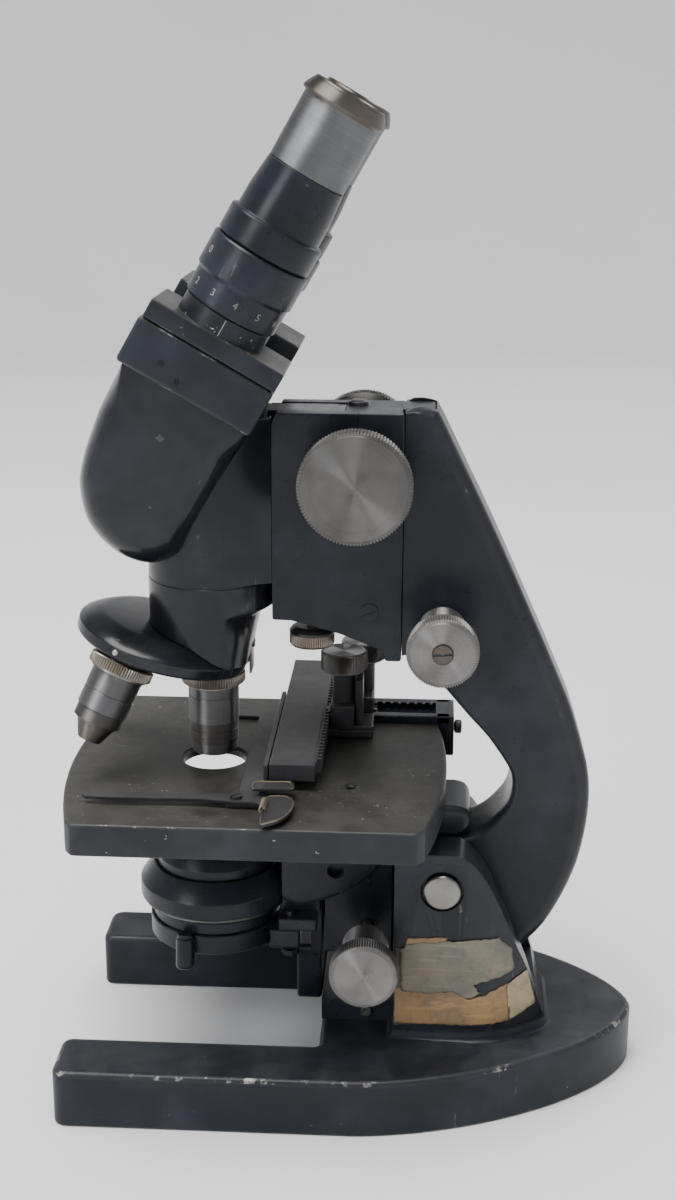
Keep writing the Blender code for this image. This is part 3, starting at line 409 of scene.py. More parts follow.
def dress(ob, width, mat, segments=3, angle=32.0, guard=0.6):
    """Bevel a carved piece, then mark its rounded convex edges as worn."""
    mod = ob.modifiers.new("edge", "BEVEL")
    mod.width, mod.segments, mod.limit_method = width * MM, segments, "ANGLE"
    mod.angle_limit = math.radians(angle)
    settle(ob)
    bm = bmesh.new()
    bm.from_mesh(ob.data)
    layer = bm.verts.layers.float.get("_WEAR") or bm.verts.layers.float.new("_WEAR")
    for v in bm.verts:
        bend = max([e.calc_face_angle_signed(0.0) for e in v.link_edges if e.is_manifold] or [0.0])
        v[layer] = min(1.0, max(0.0, (math.degrees(bend) - 6) / 14))
    wide = {f for f in bm.faces if f.calc_area() > 25e-6 and len(f.verts) < 400}
    joined = {f for f in wide for e in f.edges for g in e.link_faces
              if g is not f and g in wide and e.calc_face_angle(9.0) < math.radians(15)}
    before = set(bm.verts)
    bmesh.ops.inset_individual(bm, faces=[f for f in bm.faces if f in wide and f not in joined],
        thickness=guard * MM, use_even_offset=True)
    if joined:
        bmesh.ops.inset_region(bm, faces=[f for f in bm.faces if f in joined], thickness=guard * MM,
            use_even_offset=True)
    for v in bm.verts:
        if v not in before:
            v[layer] = 0.0
    bm.to_mesh(ob.data)
    bm.free()
    ob.data.materials.clear()
    ob.data.materials.append(mat)
    ob.data.shade_smooth()
    ob.data.set_sharp_from_angle(angle=math.radians(40))


# ---------------- materials
class Look:
    """Builder of one procedural Principled material; lengths in the textures are metres."""

    def __init__(self, name):
        self.mat = bpy.data.materials.new(name)
        self.mat.use_nodes = True
        self.tree = self.mat.node_tree
        self.shader = self.tree.nodes["Principled BSDF"]
        self.place = self.add("ShaderNodeTexCoord").outputs["Object"]

    def add(self, kind, links=(), **props):
        node = self.tree.nodes.new(kind)
        for key, value in props.items():
            setattr(node, key, value)
        for socket, value in links:
            self.join(node.inputs[socket], value)
        return node

    def join(self, socket, value):
        if isinstance(value, bpy.types.NodeSocket):
            self.tree.links.new(value, socket)
        elif isinstance(value, (tuple, list)) and len(value) == 3 and socket.type == "RGBA":
            socket.default_value = (*value, 1.0)
        else:
            socket.default_value = value

    def set(self, name, value):
        self.join(self.shader.inputs[name], value)

    def noise(self, scale, detail=4.0, rough=0.55, seed=0.0, stretch=(1, 1, 1), turn=(0, 0, 0)):
        at = self.add("ShaderNodeMapping", [("Vector", self.place), ("Scale", stretch),
            ("Location", (seed, seed * 0.7, -seed)), ("Rotation", turn)])
        return self.add("ShaderNodeTexNoise", [("Vector", at.outputs[0]), ("Scale", scale),
            ("Detail", detail), ("Roughness", rough)]).outputs[0]

    def calc(self, op, a, b=0.5, clamp=False):
        node = self.add("ShaderNodeMath", operation=op, use_clamp=clamp)
        self.join(node.inputs[0], a)
        if op != "SQRT":
            self.join(node.inputs[1], b)
        return node.outputs[0]

    def mul(self, a, b):
        return self.calc("MULTIPLY", a, b)

    def plus(self, a, b, clamp=False):
        return self.calc("ADD", a, b, clamp)

    def around(self, value, gain, base):
        """Base value that a mottling noise moves up and down."""
        return self.plus(self.mul(self.calc("SUBTRACT", value, 0.5), gain), base)

    def step(self, value, low, high):
        """0 below low, 1 above high."""
        node = self.add("ShaderNodeMapRange", interpolation_type="SMOOTHSTEP", clamp=True)
        for i, v in enumerate((value, low, high, 0.0, 1.0)):
            self.join(node.inputs[i], v)
        return node.outputs[0]

    def blend(self, share, a, b):
        node = self.add("ShaderNodeMix", data_type="RGBA")
        self.join(node.inputs[0], share)
        self.join(node.inputs[6], a)
        self.join(node.inputs[7], b)
        return node.outputs[2]

    def lerp(self, share, a, b):
        node = self.add("ShaderNodeMix", data_type="FLOAT")
        for i, v in ((0, share), (2, a), (3, b)):
            self.join(node.inputs[i], v)
        return node.outputs[0]

    def wear(self):
        return self.add("ShaderNodeAttribute", attribute_name="_WEAR").outputs["Fac"]

    def facing_up(self):
        node = self.add("ShaderNodeTexCoord")
        return self.add("ShaderNodeSeparateXYZ", [(0, node.outputs["Normal"])]).outputs[2]

    def bump(self, height, strength=0.3, distance=0.0002):
        node = self.add("ShaderNodeBump", [("Height", height), ("Strength", strength),
            ("Distance", distance)])
        self.set("Normal", node.outputs[0])


DUST, FLECK, RUBBED, SCRATCH = (0.13, 0.125, 0.115), (0.33, 0.32, 0.30), (0.04, 0.04, 0.042), (0.14, 0.14,
    0.14)
BARE_DARK, BARE_PALE = (0.10, 0.10, 0.095), (0.27, 0.265, 0.25)
BROWN, STAIN, GRIME = (0.085, 0.06, 0.035), (0.2, 0.165, 0.10), (0.06, 0.045, 0.03)
SPIN_ROUGH, SPIN_SHARE, RING_SCALE = 0.24, 0.95, 4200.0


def enamel(name, tint=(0.0080, 0.0100, 0.0145), rough=0.3, wear=0.45, dust=0.35, chips=0.3, seed=0.0,
        shine=0.22, top=None):
    """Old black enamel: soft gloss, rubbed edges, small chips, dust on what faces up; a top colour paints
    upward faces lighter than the sides, partly settled dust and partly painted light.
    """
    k = Look(name)
    k.set("Specular IOR Level", shine)
    big, mid = k.noise(24, 4, 0.6, seed), k.noise(240, 5, 0.62, seed + 1)
    fine = k.noise(1500, 3, 0.6, seed + 2)
    pale = tuple(min(1.0, c * 1.9 + 0.004) for c in tint)
    colour = k.blend(k.step(big, 0.42, 0.68), tint, pale)
    # top colour: upward faces lighter than the sides, partly settled dust and partly painted light from above
    # with painted shade on the sides
    if top:
        matt = k.blend(k.step(k.noise(42, 5, 0.65, seed + 11), 0.38, 0.66), top, tuple(c * 1.35 for c in top))
        colour = k.blend(k.step(k.facing_up(), 0.6, 0.9), colour, matt)
        flecks = k.mul(k.step(k.noise(620, 3, 0.6, seed + 12), 0.665, 0.69),
                        k.step(k.noise(26, 3, 0.6, seed + 13), 0.53, 0.6))
        colour = k.blend(flecks, colour, FLECK)
    worn = k.mul(k.wear(), k.plus(k.mul(mid, 1.2), 0.4))
    limit = 1.27 - 0.34 * wear
    rubbed = k.mul(k.step(worn, limit - 0.06, limit + 0.07), k.step(k.noise(38, 3, 0.6, seed + 9), 0.5, 0.6))
    soft_rub = k.step(k.wear(), 0.1, 1.0)
    colour = k.blend(k.mul(soft_rub, 0.3), colour, RUBBED)
    spots = k.noise(430, 2, 0.5, seed + 3)
    patch = k.step(k.noise(31, 3, 0.5, seed + 4), 0.52, 0.62)
    chipped = k.mul(k.step(spots, 0.755 - 0.05 * chips, 0.775 - 0.05 * chips), patch)
    bare = k.calc("MAXIMUM", rubbed, chipped)
    metal = k.blend(k.step(mid, 0.35, 0.65), BARE_DARK, BARE_PALE)
    colour = k.blend(bare, colour, metal)
    film = k.mul(k.step(k.facing_up(), 0.55, 0.98), k.step(k.noise(75, 6, 0.7, seed + 5), 0.36, 0.72))
    smear = k.step(k.noise(9, 3, 0.5, seed + 6, (1, 3, 2)), 0.5, 0.75)
    haze = k.plus(k.mul(film, dust * 0.62), k.mul(smear, 0.05), True)
    colour = k.blend(haze, colour, DUST)
    hair = k.noise(55, 4, 0.7, seed + 7, (1, 22, 1), (0.4, 0.9, 0.3))
    scratch = k.mul(k.step(hair, 0.655, 0.675), k.step(big, 0.5, 0.6))
    colour = k.blend(k.mul(scratch, 0.35), colour, SCRATCH)
    k.set("Base Color", colour)
    k.set("Metallic", k.mul(bare, 0.75))
    gloss = k.around(mid, 0.22, rough)
    gloss = k.lerp(haze, gloss, 0.8)
    k.set("Roughness", k.lerp(bare, gloss, 0.45))
    height = k.calc("SUBTRACT", k.plus(k.mul(fine, 0.16), k.mul(k.noise(330, 2, 0.5, seed + 8), 0.5)),
                    k.mul(bare, 0.6))
    k.bump(height, 0.22, 0.00012)
    return k.mat


def plating(name, tint=(0.60, 0.585, 0.55), rough=0.3, spin=None, dirt=0.5, seed=0.0, marks=0.3, smear=0.3):
    """Satin nickel: turned marks that spread the gloss round the axis, brown dirt in hollows."""
    k = Look(name)
    mid, fine = k.noise(180, 5, 0.6, seed), k.noise(900, 3, 0.6, seed + 1)
    big = k.noise(34, 4, 0.6, seed + 2)
    dull = tuple(c * 0.78 for c in tint)
    colour = k.blend(k.step(big, 0.38, 0.66), tint, dull)
    hollow = k.step(k.mul(k.wear(), -1.0), 0.05, 0.9)
    grime = k.mul(hollow, k.step(mid, 0.25, 0.6))
    colour = k.blend(k.mul(grime, dirt), colour, BROWN)
    spots = k.mul(k.step(k.noise(260, 3, 0.6, seed + 3), 0.66, 0.72), k.step(big, 0.52, 0.6))
    colour = k.blend(k.mul(spots, smear), colour, STAIN)
    if spin:
        flat = k.add("ShaderNodeSeparateXYZ", [(0, k.place)]).outputs
        radius = k.calc("SQRT", k.plus(k.mul(flat[0], flat[0]), k.mul(flat[1], flat[1])))
        rings = k.add("ShaderNodeCombineXYZ", [(0, radius), (1, flat[2])]).outputs[0]
        turned = k.add("ShaderNodeTexNoise", [("Vector", rings), ("Scale", RING_SCALE),
            ("Detail", 2.0)]).outputs[0]
        colour = k.blend(k.mul(k.step(turned, 0.42, 0.62), 0.22), colour, tuple(c * 0.55 for c in tint))
    k.set("Base Color", colour)
    k.set("Metallic", k.lerp(k.mul(grime, dirt), 1.0, 0.3))
    gloss = k.around(mid, 0.25, rough + (SPIN_ROUGH if spin else 0.0))
    k.set("Roughness", k.lerp(grime, gloss, 0.7))
    if spin:
        k.set("Anisotropic", SPIN_SHARE)
        k.set("Anisotropic Rotation", 0.25)
        tangent = k.add("ShaderNodeTangent", direction_type="RADIAL", axis=spin)
        k.set("Tangent", tangent.outputs[0])
    k.bump(k.plus(k.mul(fine, 0.5), mid), marks * 0.18, 0.00005)
    return k.mat


def dull(name, tint, rough=0.5, grain=220.0, seed=0.0, depth=0.15, dirt=(0.05, 0.04, 0.03), amount=0.4):
    """Plain non-metal with mottling, a matt grain and dirt in the hollows."""
    k = Look(name)
    mid, big = k.noise(grain, 5, 0.62, seed), k.noise(grain / 7, 4, 0.6, seed + 2)
    colour = k.blend(k.step(big, 0.35, 0.68), tint, tuple(c * 0.72 for c in tint))
    hollow = k.step(k.mul(k.wear(), -1.0), 0.1, 0.9)
    spots = k.calc("MAXIMUM", hollow, k.step(mid, 0.56, 0.72))
    colour = k.blend(k.mul(spots, amount), colour, dirt)
    k.set("Base Color", colour)
    k.set("Roughness", k.around(mid, 0.3, rough))
    k.bump(k.plus(mid, k.mul(k.noise(grain * 5, 3, 0.6, seed + 3), 0.5)), depth, 0.0002)
    return k.mat


def tape(name, tint, other, seed):
    """Weathered paper tape: blotches, creases, rubbed fibres and grime along the rim."""
    k = Look(name)
    big, mid = k.noise(70, 5, 0.62, seed), k.noise(300, 6, 0.66, seed + 1)
    crease = k.noise(60, 5, 0.6, seed + 2, (1.0, 1.0, 7.0), (0.3, 0.0, 0.5))
    colour = k.blend(k.step(big, 0.36, 0.66), tint, other)
    colour = k.blend(k.mul(k.step(mid, 0.5, 0.74), 0.55), colour, tuple(c * 0.45 for c in tint))
    colour = k.blend(k.mul(k.step(crease, 0.56, 0.66), 0.4), colour, tuple(min(1, c * 1.5) for c in tint))
    rim = k.step(k.plus(k.wear(), k.mul(k.calc("SUBTRACT", mid, 0.5), 0.9)), 0.5, 0.9)
    colour = k.blend(k.mul(rim, 0.75), colour, GRIME)
    k.set("Base Color", colour)
    k.set("Roughness", k.plus(k.mul(mid, 0.25), 0.55))
    k.bump(k.plus(k.mul(crease, 1.4), mid), 0.5, 0.0003)
    return k.mat


def clear(name, tint, rough=0.03):
    """Coated optical glass with a few dust specks."""
    k = Look(name)
    k.set("IOR", 1.52)
    k.set("Transmission Weight", 0.9)
    k.set("Base Color", k.blend(k.step(k.noise(900, 3, 0.6, 4.0), 0.7, 0.74), tint, (0.5, 0.5, 0.5)))
    k.set("Roughness", k.plus(k.mul(k.noise(120, 4, 0.6, 6.0), 0.06), rough))
    k.bump(k.noise(60, 2, 0.5, 7.0), 0.03, 0.0001)
    return k.mat


ENAMEL = enamel("enamel_black", wear=0.45, dust=0.22, chips=0.3, seed=1.0)
ENAMEL_FOOT = enamel("enamel_foot", rough=0.36, wear=0.5, dust=0.3, chips=0.35, seed=2.0)
ENAMEL_GLOSS = enamel("enamel_gloss", (0.0062, 0.0075, 0.0108), 0.20, 0.35, 0.1, 0.15, 3.0, 0.28)
# TABLE and ENAMEL_HEAD take a top colour: their upward faces are painted lighter than their sides, partly
# dust and partly painted light
TABLE = enamel("stage_table_black", (0.0130, 0.0145, 0.0180), 0.42, 0.4, 0.35, 0.5, 4.0, 0.24,
               (0.024, 0.0235, 0.0205))
ENAMEL_HEAD = enamel("enamel_head", (0.0080, 0.0100, 0.0140), 0.34, 0.55, 0.5, 0.5, 8.0, 0.22,
                     (0.018, 0.018, 0.017))
MECHANISM = enamel("mechanism_black", (0.022, 0.022, 0.024), 0.42, 0.6, 0.4, 0.3, 5.0, 0.22)
NICKEL = plating("nickel_plate", (0.165, 0.162, 0.158), 0.25, "Z", 0.7, 1.0, 0.25, 0.12)
NICKEL_SMALL = plating("nickel_small_knob", (0.235, 0.23, 0.225), 0.25, "Z", 0.7, 1.5, 0.25, 0.12)
NICKEL_LENS = plating("nickel_objective", (0.20, 0.20, 0.205), 0.22, "Z", 0.6, 9.0, 0.25, 0.2)
NICKEL_RAW = plating("nickel_worn", (0.25, 0.24, 0.225), 0.36, None, 0.6, 2.0, 0.6, 0.5)
NICKEL_CAP = plating("nickel_dark", (0.17, 0.153, 0.135), 0.28, "Z", 0.5, 3.0)
PALE = plating("satin_grey", (0.225, 0.232, 0.24), 0.32, "Z", 0.35, 4.0, 0.3, 0.1)
BRONZE = plating("stained_band", (0.185, 0.178, 0.172), 0.34, "Z", 0.6, 5.0, 0.4, 0.3)
BRASS = plating("brass", (0.42, 0.32, 0.17), 0.36, None, 0.6, 6.0, 0.5, 0.5)
COLLAR = plating("worn_collar", (0.26, 0.235, 0.20), 0.36, None, 0.9, 7.5, 0.5, 0.4)
EDGE = plating("worn_edge", (0.30, 0.27, 0.19), 0.42, None, 0.6, 6.5, 0.6, 0.6)
SCREW = plating("screw_stained", (0.105, 0.088, 0.08), 0.4, None, 0.6, 8.0, 0.5, 0.5)
STEEL = plating("steel", (0.42, 0.415, 0.40), 0.36, None, 0.5, 7.0, 0.5, 0.5)
PLASTIC = dull("plastic_black", (0.014, 0.014, 0.015), 0.34, 200.0, 1.0, 0.1, (0.05, 0.045, 0.04), 0.3)
INK = dull("scale_white", (0.24, 0.235, 0.22), 0.6, 900.0, 2.0, 0.1)
TAPE_GREEN = tape("tape_grey_green", (0.165, 0.150, 0.105), (0.105, 0.108, 0.090), 1.0)
TAPE_TAN = tape("tape_tan", (0.27, 0.165, 0.075), (0.165, 0.115, 0.070), 2.0)
TAPE_CREAM = tape("tape_cream", (0.36, 0.29, 0.175), (0.26, 0.21, 0.13), 3.0)
TAPE_GLUE = tape("tape_residue", (0.085, 0.072, 0.050), (0.055, 0.050, 0.040), 4.0)
GLASS = clear("glass_clear", (0.90, 0.95, 0.96))
LENS = clear("glass_lens", (0.45, 0.52, 0.60), 0.05)
# condenser lens: a pale diffuse colour, painted light and reflection for the bright lens seen through the
# stage hole
CONDENSER_PAINTED_LIGHT = dull("glass_frosted", (0.72, 0.75, 0.75), 0.12, 300.0, 9.0, 0.05, (0.5, 0.52, 0.5), 0.3)

# ---------------- camera, backdrop and light
CAMERA_AT = Vector((0.02318, -0.56837, 0.34953))
YAW, DOWN, ROLL = -0.0547, 0.2911, -0.0048
forward = Vector((math.sin(YAW) * math.cos(DOWN), math.cos(YAW) * math.cos(DOWN), -math.sin(DOWN)))
right = Vector((math.cos(YAW), -math.sin(YAW), 0.0))
down = forward.cross(right)
right, down = (right * math.cos(ROLL) + down * math.sin(ROLL), down * math.cos(ROLL) - right * math.sin(ROLL))
camera = bpy.data.objects.new("camera", bpy.data.cameras.new("camera"))
turn = Matrix([[right[i], -down[i], -forward[i]] for i in range(3)])
camera.matrix_world = Matrix.Translation(CAMERA_AT) @ turn.to_4x4()
camera.data.lens, camera.data.sensor_width = 49.85, 36.0
camera.data.clip_start, camera.data.clip_end = 0.01, 30.0
bpy.context.scene.collection.objects.link(camera)
bpy.context.scene.camera = camera


def floor_look():
    k = Look("backdrop_paper")
    big, fine = k.noise(1.5, 3, 0.5), k.noise(380, 4, 0.6, 3.0)
    colour = k.blend(k.step(big, 0.35, 0.7), (0.78, 0.775, 0.775), (0.75, 0.75, 0.755))
    k.set("Base Color", k.blend(k.mul(fine, 0.12), colour, (0.68, 0.68, 0.68)))
    k.set("Roughness", 0.75)
    k.bump(fine, 0.1, 0.0002)
    return k.mat


def backdrop():
    """Round paper bowl: flat floor that curves up into a wall all round."""
    shape = Shape()
    rows = [(3050.0, 1900.0), (3050.0, 1100.0)]
    rows += [(1950 + 1100 * math.sin(math.radians(a)), 1100 - 1100 * math.cos(math.radians(a)))
             for a in range(84, -1, -6)]
    rows += [(1000.0, 0.0), (0.0, 0.0)]
    shape.lathe([(r, z - 0.05) for r, z in rows], UP, 128, soft=0)
    ob_from("backdrop", shape, floor_look(), 180)


def light(name, at, aim, size, power, tint):
    data = bpy.data.lights.new(name, "AREA")
    data.shape, data.size, data.energy, data.color = "DISK", size, power, tint
    ob = bpy.data.objects.new(name, data)
    ob.matrix_world = along(Vector(at) - Vector(aim), at)
    bpy.context.scene.collection.objects.link(ob)


backdrop()
light("overhead_soft", (-0.35, -0.25, 2.3), (0, 0, 0.1), 1.7, 96, (1.0, 0.99, 0.98))
light("front_fill", (-1.5, -1.7, 1.2), (0, 0, 0.15), 0.9, 20, (0.97, 0.98, 1.0))
light("rear_soft", (0.9, 1.7, 1.6), (0, 0, 0.15), 1.2, 9, (0.96, 0.98, 1.0))
world = bpy.data.worlds.new("studio")
world.use_nodes = True
world.node_tree.nodes["Background"].inputs[0].default_value = (0.93, 0.95, 1.0, 1.0)
world.node_tree.nodes["Background"].inputs[1].default_value = 0.33
bpy.context.scene.world = world


def node_look(mat, *names):
    """Give carried-over CAD nodes a finished material."""
    for name in names:
        for holder in bpy.data.objects[name].material_slots:
            holder.material = mat


# ---------------- foot and pillar
def foot_outline():
    rear = []
    for i in range(1, 48):
        y = FOOT_HALF * math.cos(math.pi * i / 48)
        rear.append((FOOT_REAR * (1 - abs(y / FOOT_HALF) ** 1.65) ** (1 / 1.65), -y))
    near = arc(FOOT_FRONT + 5, -FOOT_HALF + 5, 5, 180, 270, 9)
    far = arc(FOOT_FRONT + 5, FOOT_HALF - 5, 5, 90, 180, 9)
    far_in = arc(FOOT_FRONT + 4, LEG_INNER + 4, 4, 180, 270, 8)
    near_in = arc(FOOT_FRONT + 4, -LEG_INNER - 4, 4, 90, 180, 8)
    crotch = (arc(CROTCH_X - 2, LEG_INNER - 2, 2, 90, 0, 8)
              + arc(CROTCH_X - 2, -LEG_INNER + 2, 2, 0, -90, 8))
    return near + [(0, -FOOT_HALF)] + rear + [(0, FOOT_HALF)] + far + far_in + crotch + near_in


foot = piece("foot_casting", Shape().slab(foot_outline(), 0.0, FOOT_H, UP, 2.1, 0.9, 5), "base",
             "black_enamel", ENAMEL_FOOT, "horseshoe_foot")
carve(foot, *[Shape().lathe([(0, 30), (3.4, 30), (3.4, 8.4), (6.0, 8.4), (6.0, -3), (0, -3)], moved_to(x), 32,
    soft=0) for x in BOLT_XS])

# outlines read from the photo, in X and Z
yoke_side = ([(CROTCH_X, FOOT_H + 0.3), (CROTCH_X, 30.0), (14.5, 30.0), (14.5, 90.8), (16.2, 93.6),
    (18.5, YOKE_TOP), (34.0, YOKE_TOP)] + smooth_path([(38.0, 94.4), (42.1, 91.7), (45.7, 87.3), (49.4, 80.9),
    (54.5, 69.4), (59.0, 57.6), (63.0, 47.8), (68.0, 32.4), (71.0, FOOT_H + 0.3)], 3))
cheek = smooth_path([(44.0, -YOKE_HALF), (50.0, -30.2), (56.0, -28.0), (66.0, -21.5), (73.0, -13.0)], 3)
yoke_plan = ([(CROTCH_X - 1, -YOKE_FRONT_HALF), (14.5, -YOKE_FRONT_HALF), (14.5, -YOKE_HALF)] + cheek
             + [(x, -y) for x, y in cheek[::-1]]
             + [(14.5, YOKE_HALF), (14.5, YOKE_FRONT_HALF), (CROTCH_X - 1, YOKE_FRONT_HALF)])
yoke = piece("pillar_casting", prism(yoke_side, -YOKE_HALF, YOKE_HALF, SIDE), "base", "black_enamel",
             ENAMEL, "pillar_yoke")
carve(yoke, prism(yoke_plan, 0, 120), operation="INTERSECT")
carve(yoke, channel(12, 90, YOKE_SLOT, 35.5, 120),
      rod(PIVOT_BORE, 40, -40, shaft_frame(PIVOT_X, PIVOT_Z), 48),
      *[rod(7.7, 10, 0, shaft_frame(PIVOT_X, PIVOT_Z, s * 29.0, s), 64) for s in (-1, 1)],
      *[rod(SHAFT_BORE, 27, 15, moved_to(x)) for x in BOLT_XS])
dress(yoke, 1.3, ENAMEL, 3, 32)

skirt_plan = [(14.5, -YOKE_HALF)] + [p for p in cheek if p[0] < 69] + [(70.4, -16.0), (70.4, 16.0)]
skirt_plan += [(x, -y) for x, y in cheek[::-1] if x < 69] + [(14.5, YOKE_HALF)]
rings = [(1.0 if k == 9 else -3.4 * (1 - math.sin(math.pi / 2 * k / 8)),
          FOOT_H - 0.15 + 4.2 * (1 - math.cos(math.pi / 2 * min(k, 8) / 8)) + (0.02 if k == 9 else 0.0),
          0.0) for k in range(9, -1, -1)] + [(-3.4, FOOT_H - 0.6, 0.0)]
piece("pillar_fillet", Shape().stack(skirt_plan, rings), "base", "black_enamel", ENAMEL, smooth=50)

for sign, tag in SIDES:
    cap = Shape().lathe([(0, 3.9), (3.5, 3.75), (6.0, 3.2), (6.6, 2.6), (6.6, 0), (0, 0)],
                        shaft_frame(PIVOT_X, PIVOT_Z, sign * 29.3, sign), 72, soft=0.5)
    piece("pivot_cap_cover_" + tag, cap, "base", "nickel", NICKEL_RAW, "pivot_cap_" + tag)
node_look(STEEL, "pivot_pin", "pillar_bolt_front", "pillar_bolt_rear")


def cheek_y(x):
    return float(np.interp(x, [14.0] + [p[0] for p in cheek], [-YOKE_HALF] + [p[1] for p in cheek]))


def tape_strip(name, outline, mat, slot, seed, lift, ragged=0.5):
    """Thin sheet that follows the pillar's near cheek; the outline is in X and Z."""
    rng = random.Random(seed)
    points = []
    n = len(outline)
    for i in range(n):
        a, b = Vector(outline[i]), Vector(outline[(i + 1) % n])
        count = max(2, int((b - a).length / 1.1))
        for k in range(count):
            p = a.lerp(b, k / count)
            dx, dz = [rng.uniform(-ragged, ragged) * 0.6 for _ in range(2)]
            points.append((p.x + dx, p.y + dz))
    points = ccw(points)
    bm = bmesh.new()
    layer = bm.verts.layers.float.new("_WEAR")
    bm.faces.new([bm.verts.new((x * MM, 0, z * MM)) for x, z in points])
    lows = [min(p[i] for p in points) for i in (0, 1)]
    highs = [max(p[i] for p in points) for i in (0, 1)]
    for axis, normal in ((0, (1, 0, 0)), (1, (0, 0, 1))):
        at = lows[axis] + 1.1
        while at < highs[axis]:
            spot = (at * MM, 0, 0) if axis == 0 else (0, 0, at * MM)
            bmesh.ops.bisect_plane(bm, geom=list(bm.verts) + list(bm.edges) + list(bm.faces), plane_co=spot,
                plane_no=normal, dist=1e-7)
            at += 1.3
    rim = {v for v in bm.verts if v.is_boundary}
    for v in bm.verts:
        v[layer] = 1.0 if v in rim else 0.0
        x, z = v.co.x * 1000, v.co.z * 1000
        wave = math.sin(1.9 * x + 0.7 * z + seed) * math.sin(0.9 * z - 0.5 * x)
        crinkle = 0.06 * wave + 0.03 * rng.random()
        v.co.y = (cheek_y(x) - lift - (0.0 if v in rim else 0.14 + crinkle)) * MM
    flat = list(bm.faces)
    bmesh.ops.recalc_face_normals(bm, faces=flat)
    if flat[0].normal.y > 0:
        bmesh.ops.reverse_faces(bm, faces=flat)
    extra = bmesh.ops.extrude_face_region(bm, geom=flat)
    for v in [g for g in extra["geom"] if isinstance(g, bmesh.types.BMVert)]:
        v.co.y -= 0.2 * MM
    bmesh.ops.recalc_face_normals(bm, faces=bm.faces)
    mesh = bpy.data.meshes.new(name)
    bm.to_mesh(mesh)
    bm.free()
    mesh.materials.append(mat)
    mesh.shade_smooth()
    ob = bpy.data.objects.new(name, mesh)
    bpy.context.scene.collection.objects.link(ob)
    seat(ob, "base", slot)


tape_strip("tape_upper", [(16.5, 57.6), (20.4, 60.2), (52.2, 62.9), (57.0, 57.9), (58.6, 49.1), (53.1, 46.9),
    (43.5, 44.5), (46.1, 40.9), (41.8, 38.3), (36, 41.4), (28, 40.3), (17.5, 41.1)], TAPE_GREEN, "tape_green",
    3, 0.4)
tape_strip("tape_lower", [(14.9, 42.2), (28, 41.5), (35.9, 41.8), (42.5, 38.4), (47.9, 40.2), (56.4, 43.7),
    (57.4, 28.5), (42.9, 27.5), (22.2, 27.5), (15.0, 28.0)], TAPE_TAN, "tape_tan", 5, 0.14)
tape_strip("tape_strip_side", [(55.6, 43.4), (63.4, 47.4), (67.0, 32.5), (57.2, 28.4)], TAPE_CREAM,
           "tape_cream", 7, 0.4, 0.25)
tape_strip("tape_strip_top", [(19.5, 62.2), (33.8, 63.0), (33.6, 59.4), (18.4, 58.4)], TAPE_TAN, "tape_tan",
    9, 0.14, 0.3)
tape_strip("tape_residue", [(15.0, 58.0), (17.2, 58.6), (18.2, 43.5), (24.5, 41.0), (27.0, 27.8),
    (15.0, 26.6)], TAPE_GLUE, "tape_tan", 11, -0.12, 0.35)
piece("pillar_front_screw", Shape().screw_head(1.9, 1.5, 0.5, 35, along((0, -1, 0), (4.4, -20.0, 26.0))),
      "base", "nickel", NICKEL_RAW)


# ---------------- limb, bracket and stage
def rack_outline(length, pitch, first, back, tooth=1.65):
    points, x = [(0.0, -back), (0.0, 0.0)], first
    while x < length - pitch * 0.5:
        if x > pitch * 0.5:
            points += [(x + f * 0.34 * pitch, y) for f, y in ((-0.62, 0.0), (-0.36, tooth), (0.36, tooth),
                (0.62, 0.0))]
        x += pitch
    return ccw(points + [(length, 0.0), (length, -back)])


def weighted(outline, rings, weights, matrix, centre=None):
    """Stack whose inset fades with a weight at each outline point (counter-clockwise points).

    With a centre the inset is a share of the way to that centre.
    """
    p = np.array(outline, float)[:, :2]
    w = np.array(weights, float)[:, None]
    rows, wear = [], []
    for inset, z, worn in rings:
        goal = p + (np.array(centre) - p) * inset if centre else offset(p, inset)
        rows.append([(x, y, z) for x, y in p + (goal - p) * w])
        wear += [worn * float(k > 0.3) for k in weights]
    return Shape().loft(rows, wear, matrix)


def bulge_rings(half, depth, power, n):
    """Rings of a bulb: the inset follows a superellipse across the thickness."""
    rings = []
    for k in range(n + 1):
        a = math.pi / 2 * k / n
        z = half * math.cos(a) ** (2 / power)
        rings.append((depth * (1 - math.sin(a) ** (2 / power)), z, 0.0))
    return rings + [(i, -z, w) for i, z, w in rings[-2::-1]]


def round_rings(low, high, r, n):
    """Two wide rims whose wear peaks near the flat faces."""
    def worn(share):
        return 0.25 + 0.75 * math.exp(-((share - 0.25) / 0.22) ** 2)

    return rim_rings(high, r, n, 0.8, -1, worn) + rim_rings(low, r, n, 0.8, 1, worn)[::-1]


arm_back = smooth_path([(21.0, 250.8), (25.4, 250.0), (27.6, 247.6), (34.9, 233.0), (42.4, 217.9),
                        (50.1, 201.8), (57.9, 184.8), (65.8, 167.5), (72.2, 153.0), (76.3, 143.1),
                        (80.3, 130.5), (82.6, 122.2), (83.7, 114.9), (83.9, 106.4), (82.9, 95.6),
                        (80.5, 83.7), (76.1, 71.5), (69.6, 59.1), (61.8, 50.0)], 3)
arm_tail = arc(PIVOT_X, PIVOT_Z, 43.2, -50, -113, 20)[1:]
arm_inner = smooth_path([(14.4, 94.0), (33.5, 94.0), (41.2, 94.9), (47.9, 98.8), (53.5, 105.3), (55.6, 110.6),
    (55.7, 116.8), (53.8, 121.9), (46.9, 132.0), (39.0, 140.9), (30.6, 150.8), (21.0, 161.0),
    (SEAM_X + 0.12, 163.0)], 3)[1:]
arm_outline = ([(SEAM_X + 0.12, 249.2), (18.0, 250.6)] + arm_back + arm_tail
               + [(14.4, 45.0), (14.4, 94.0)] + arm_inner)
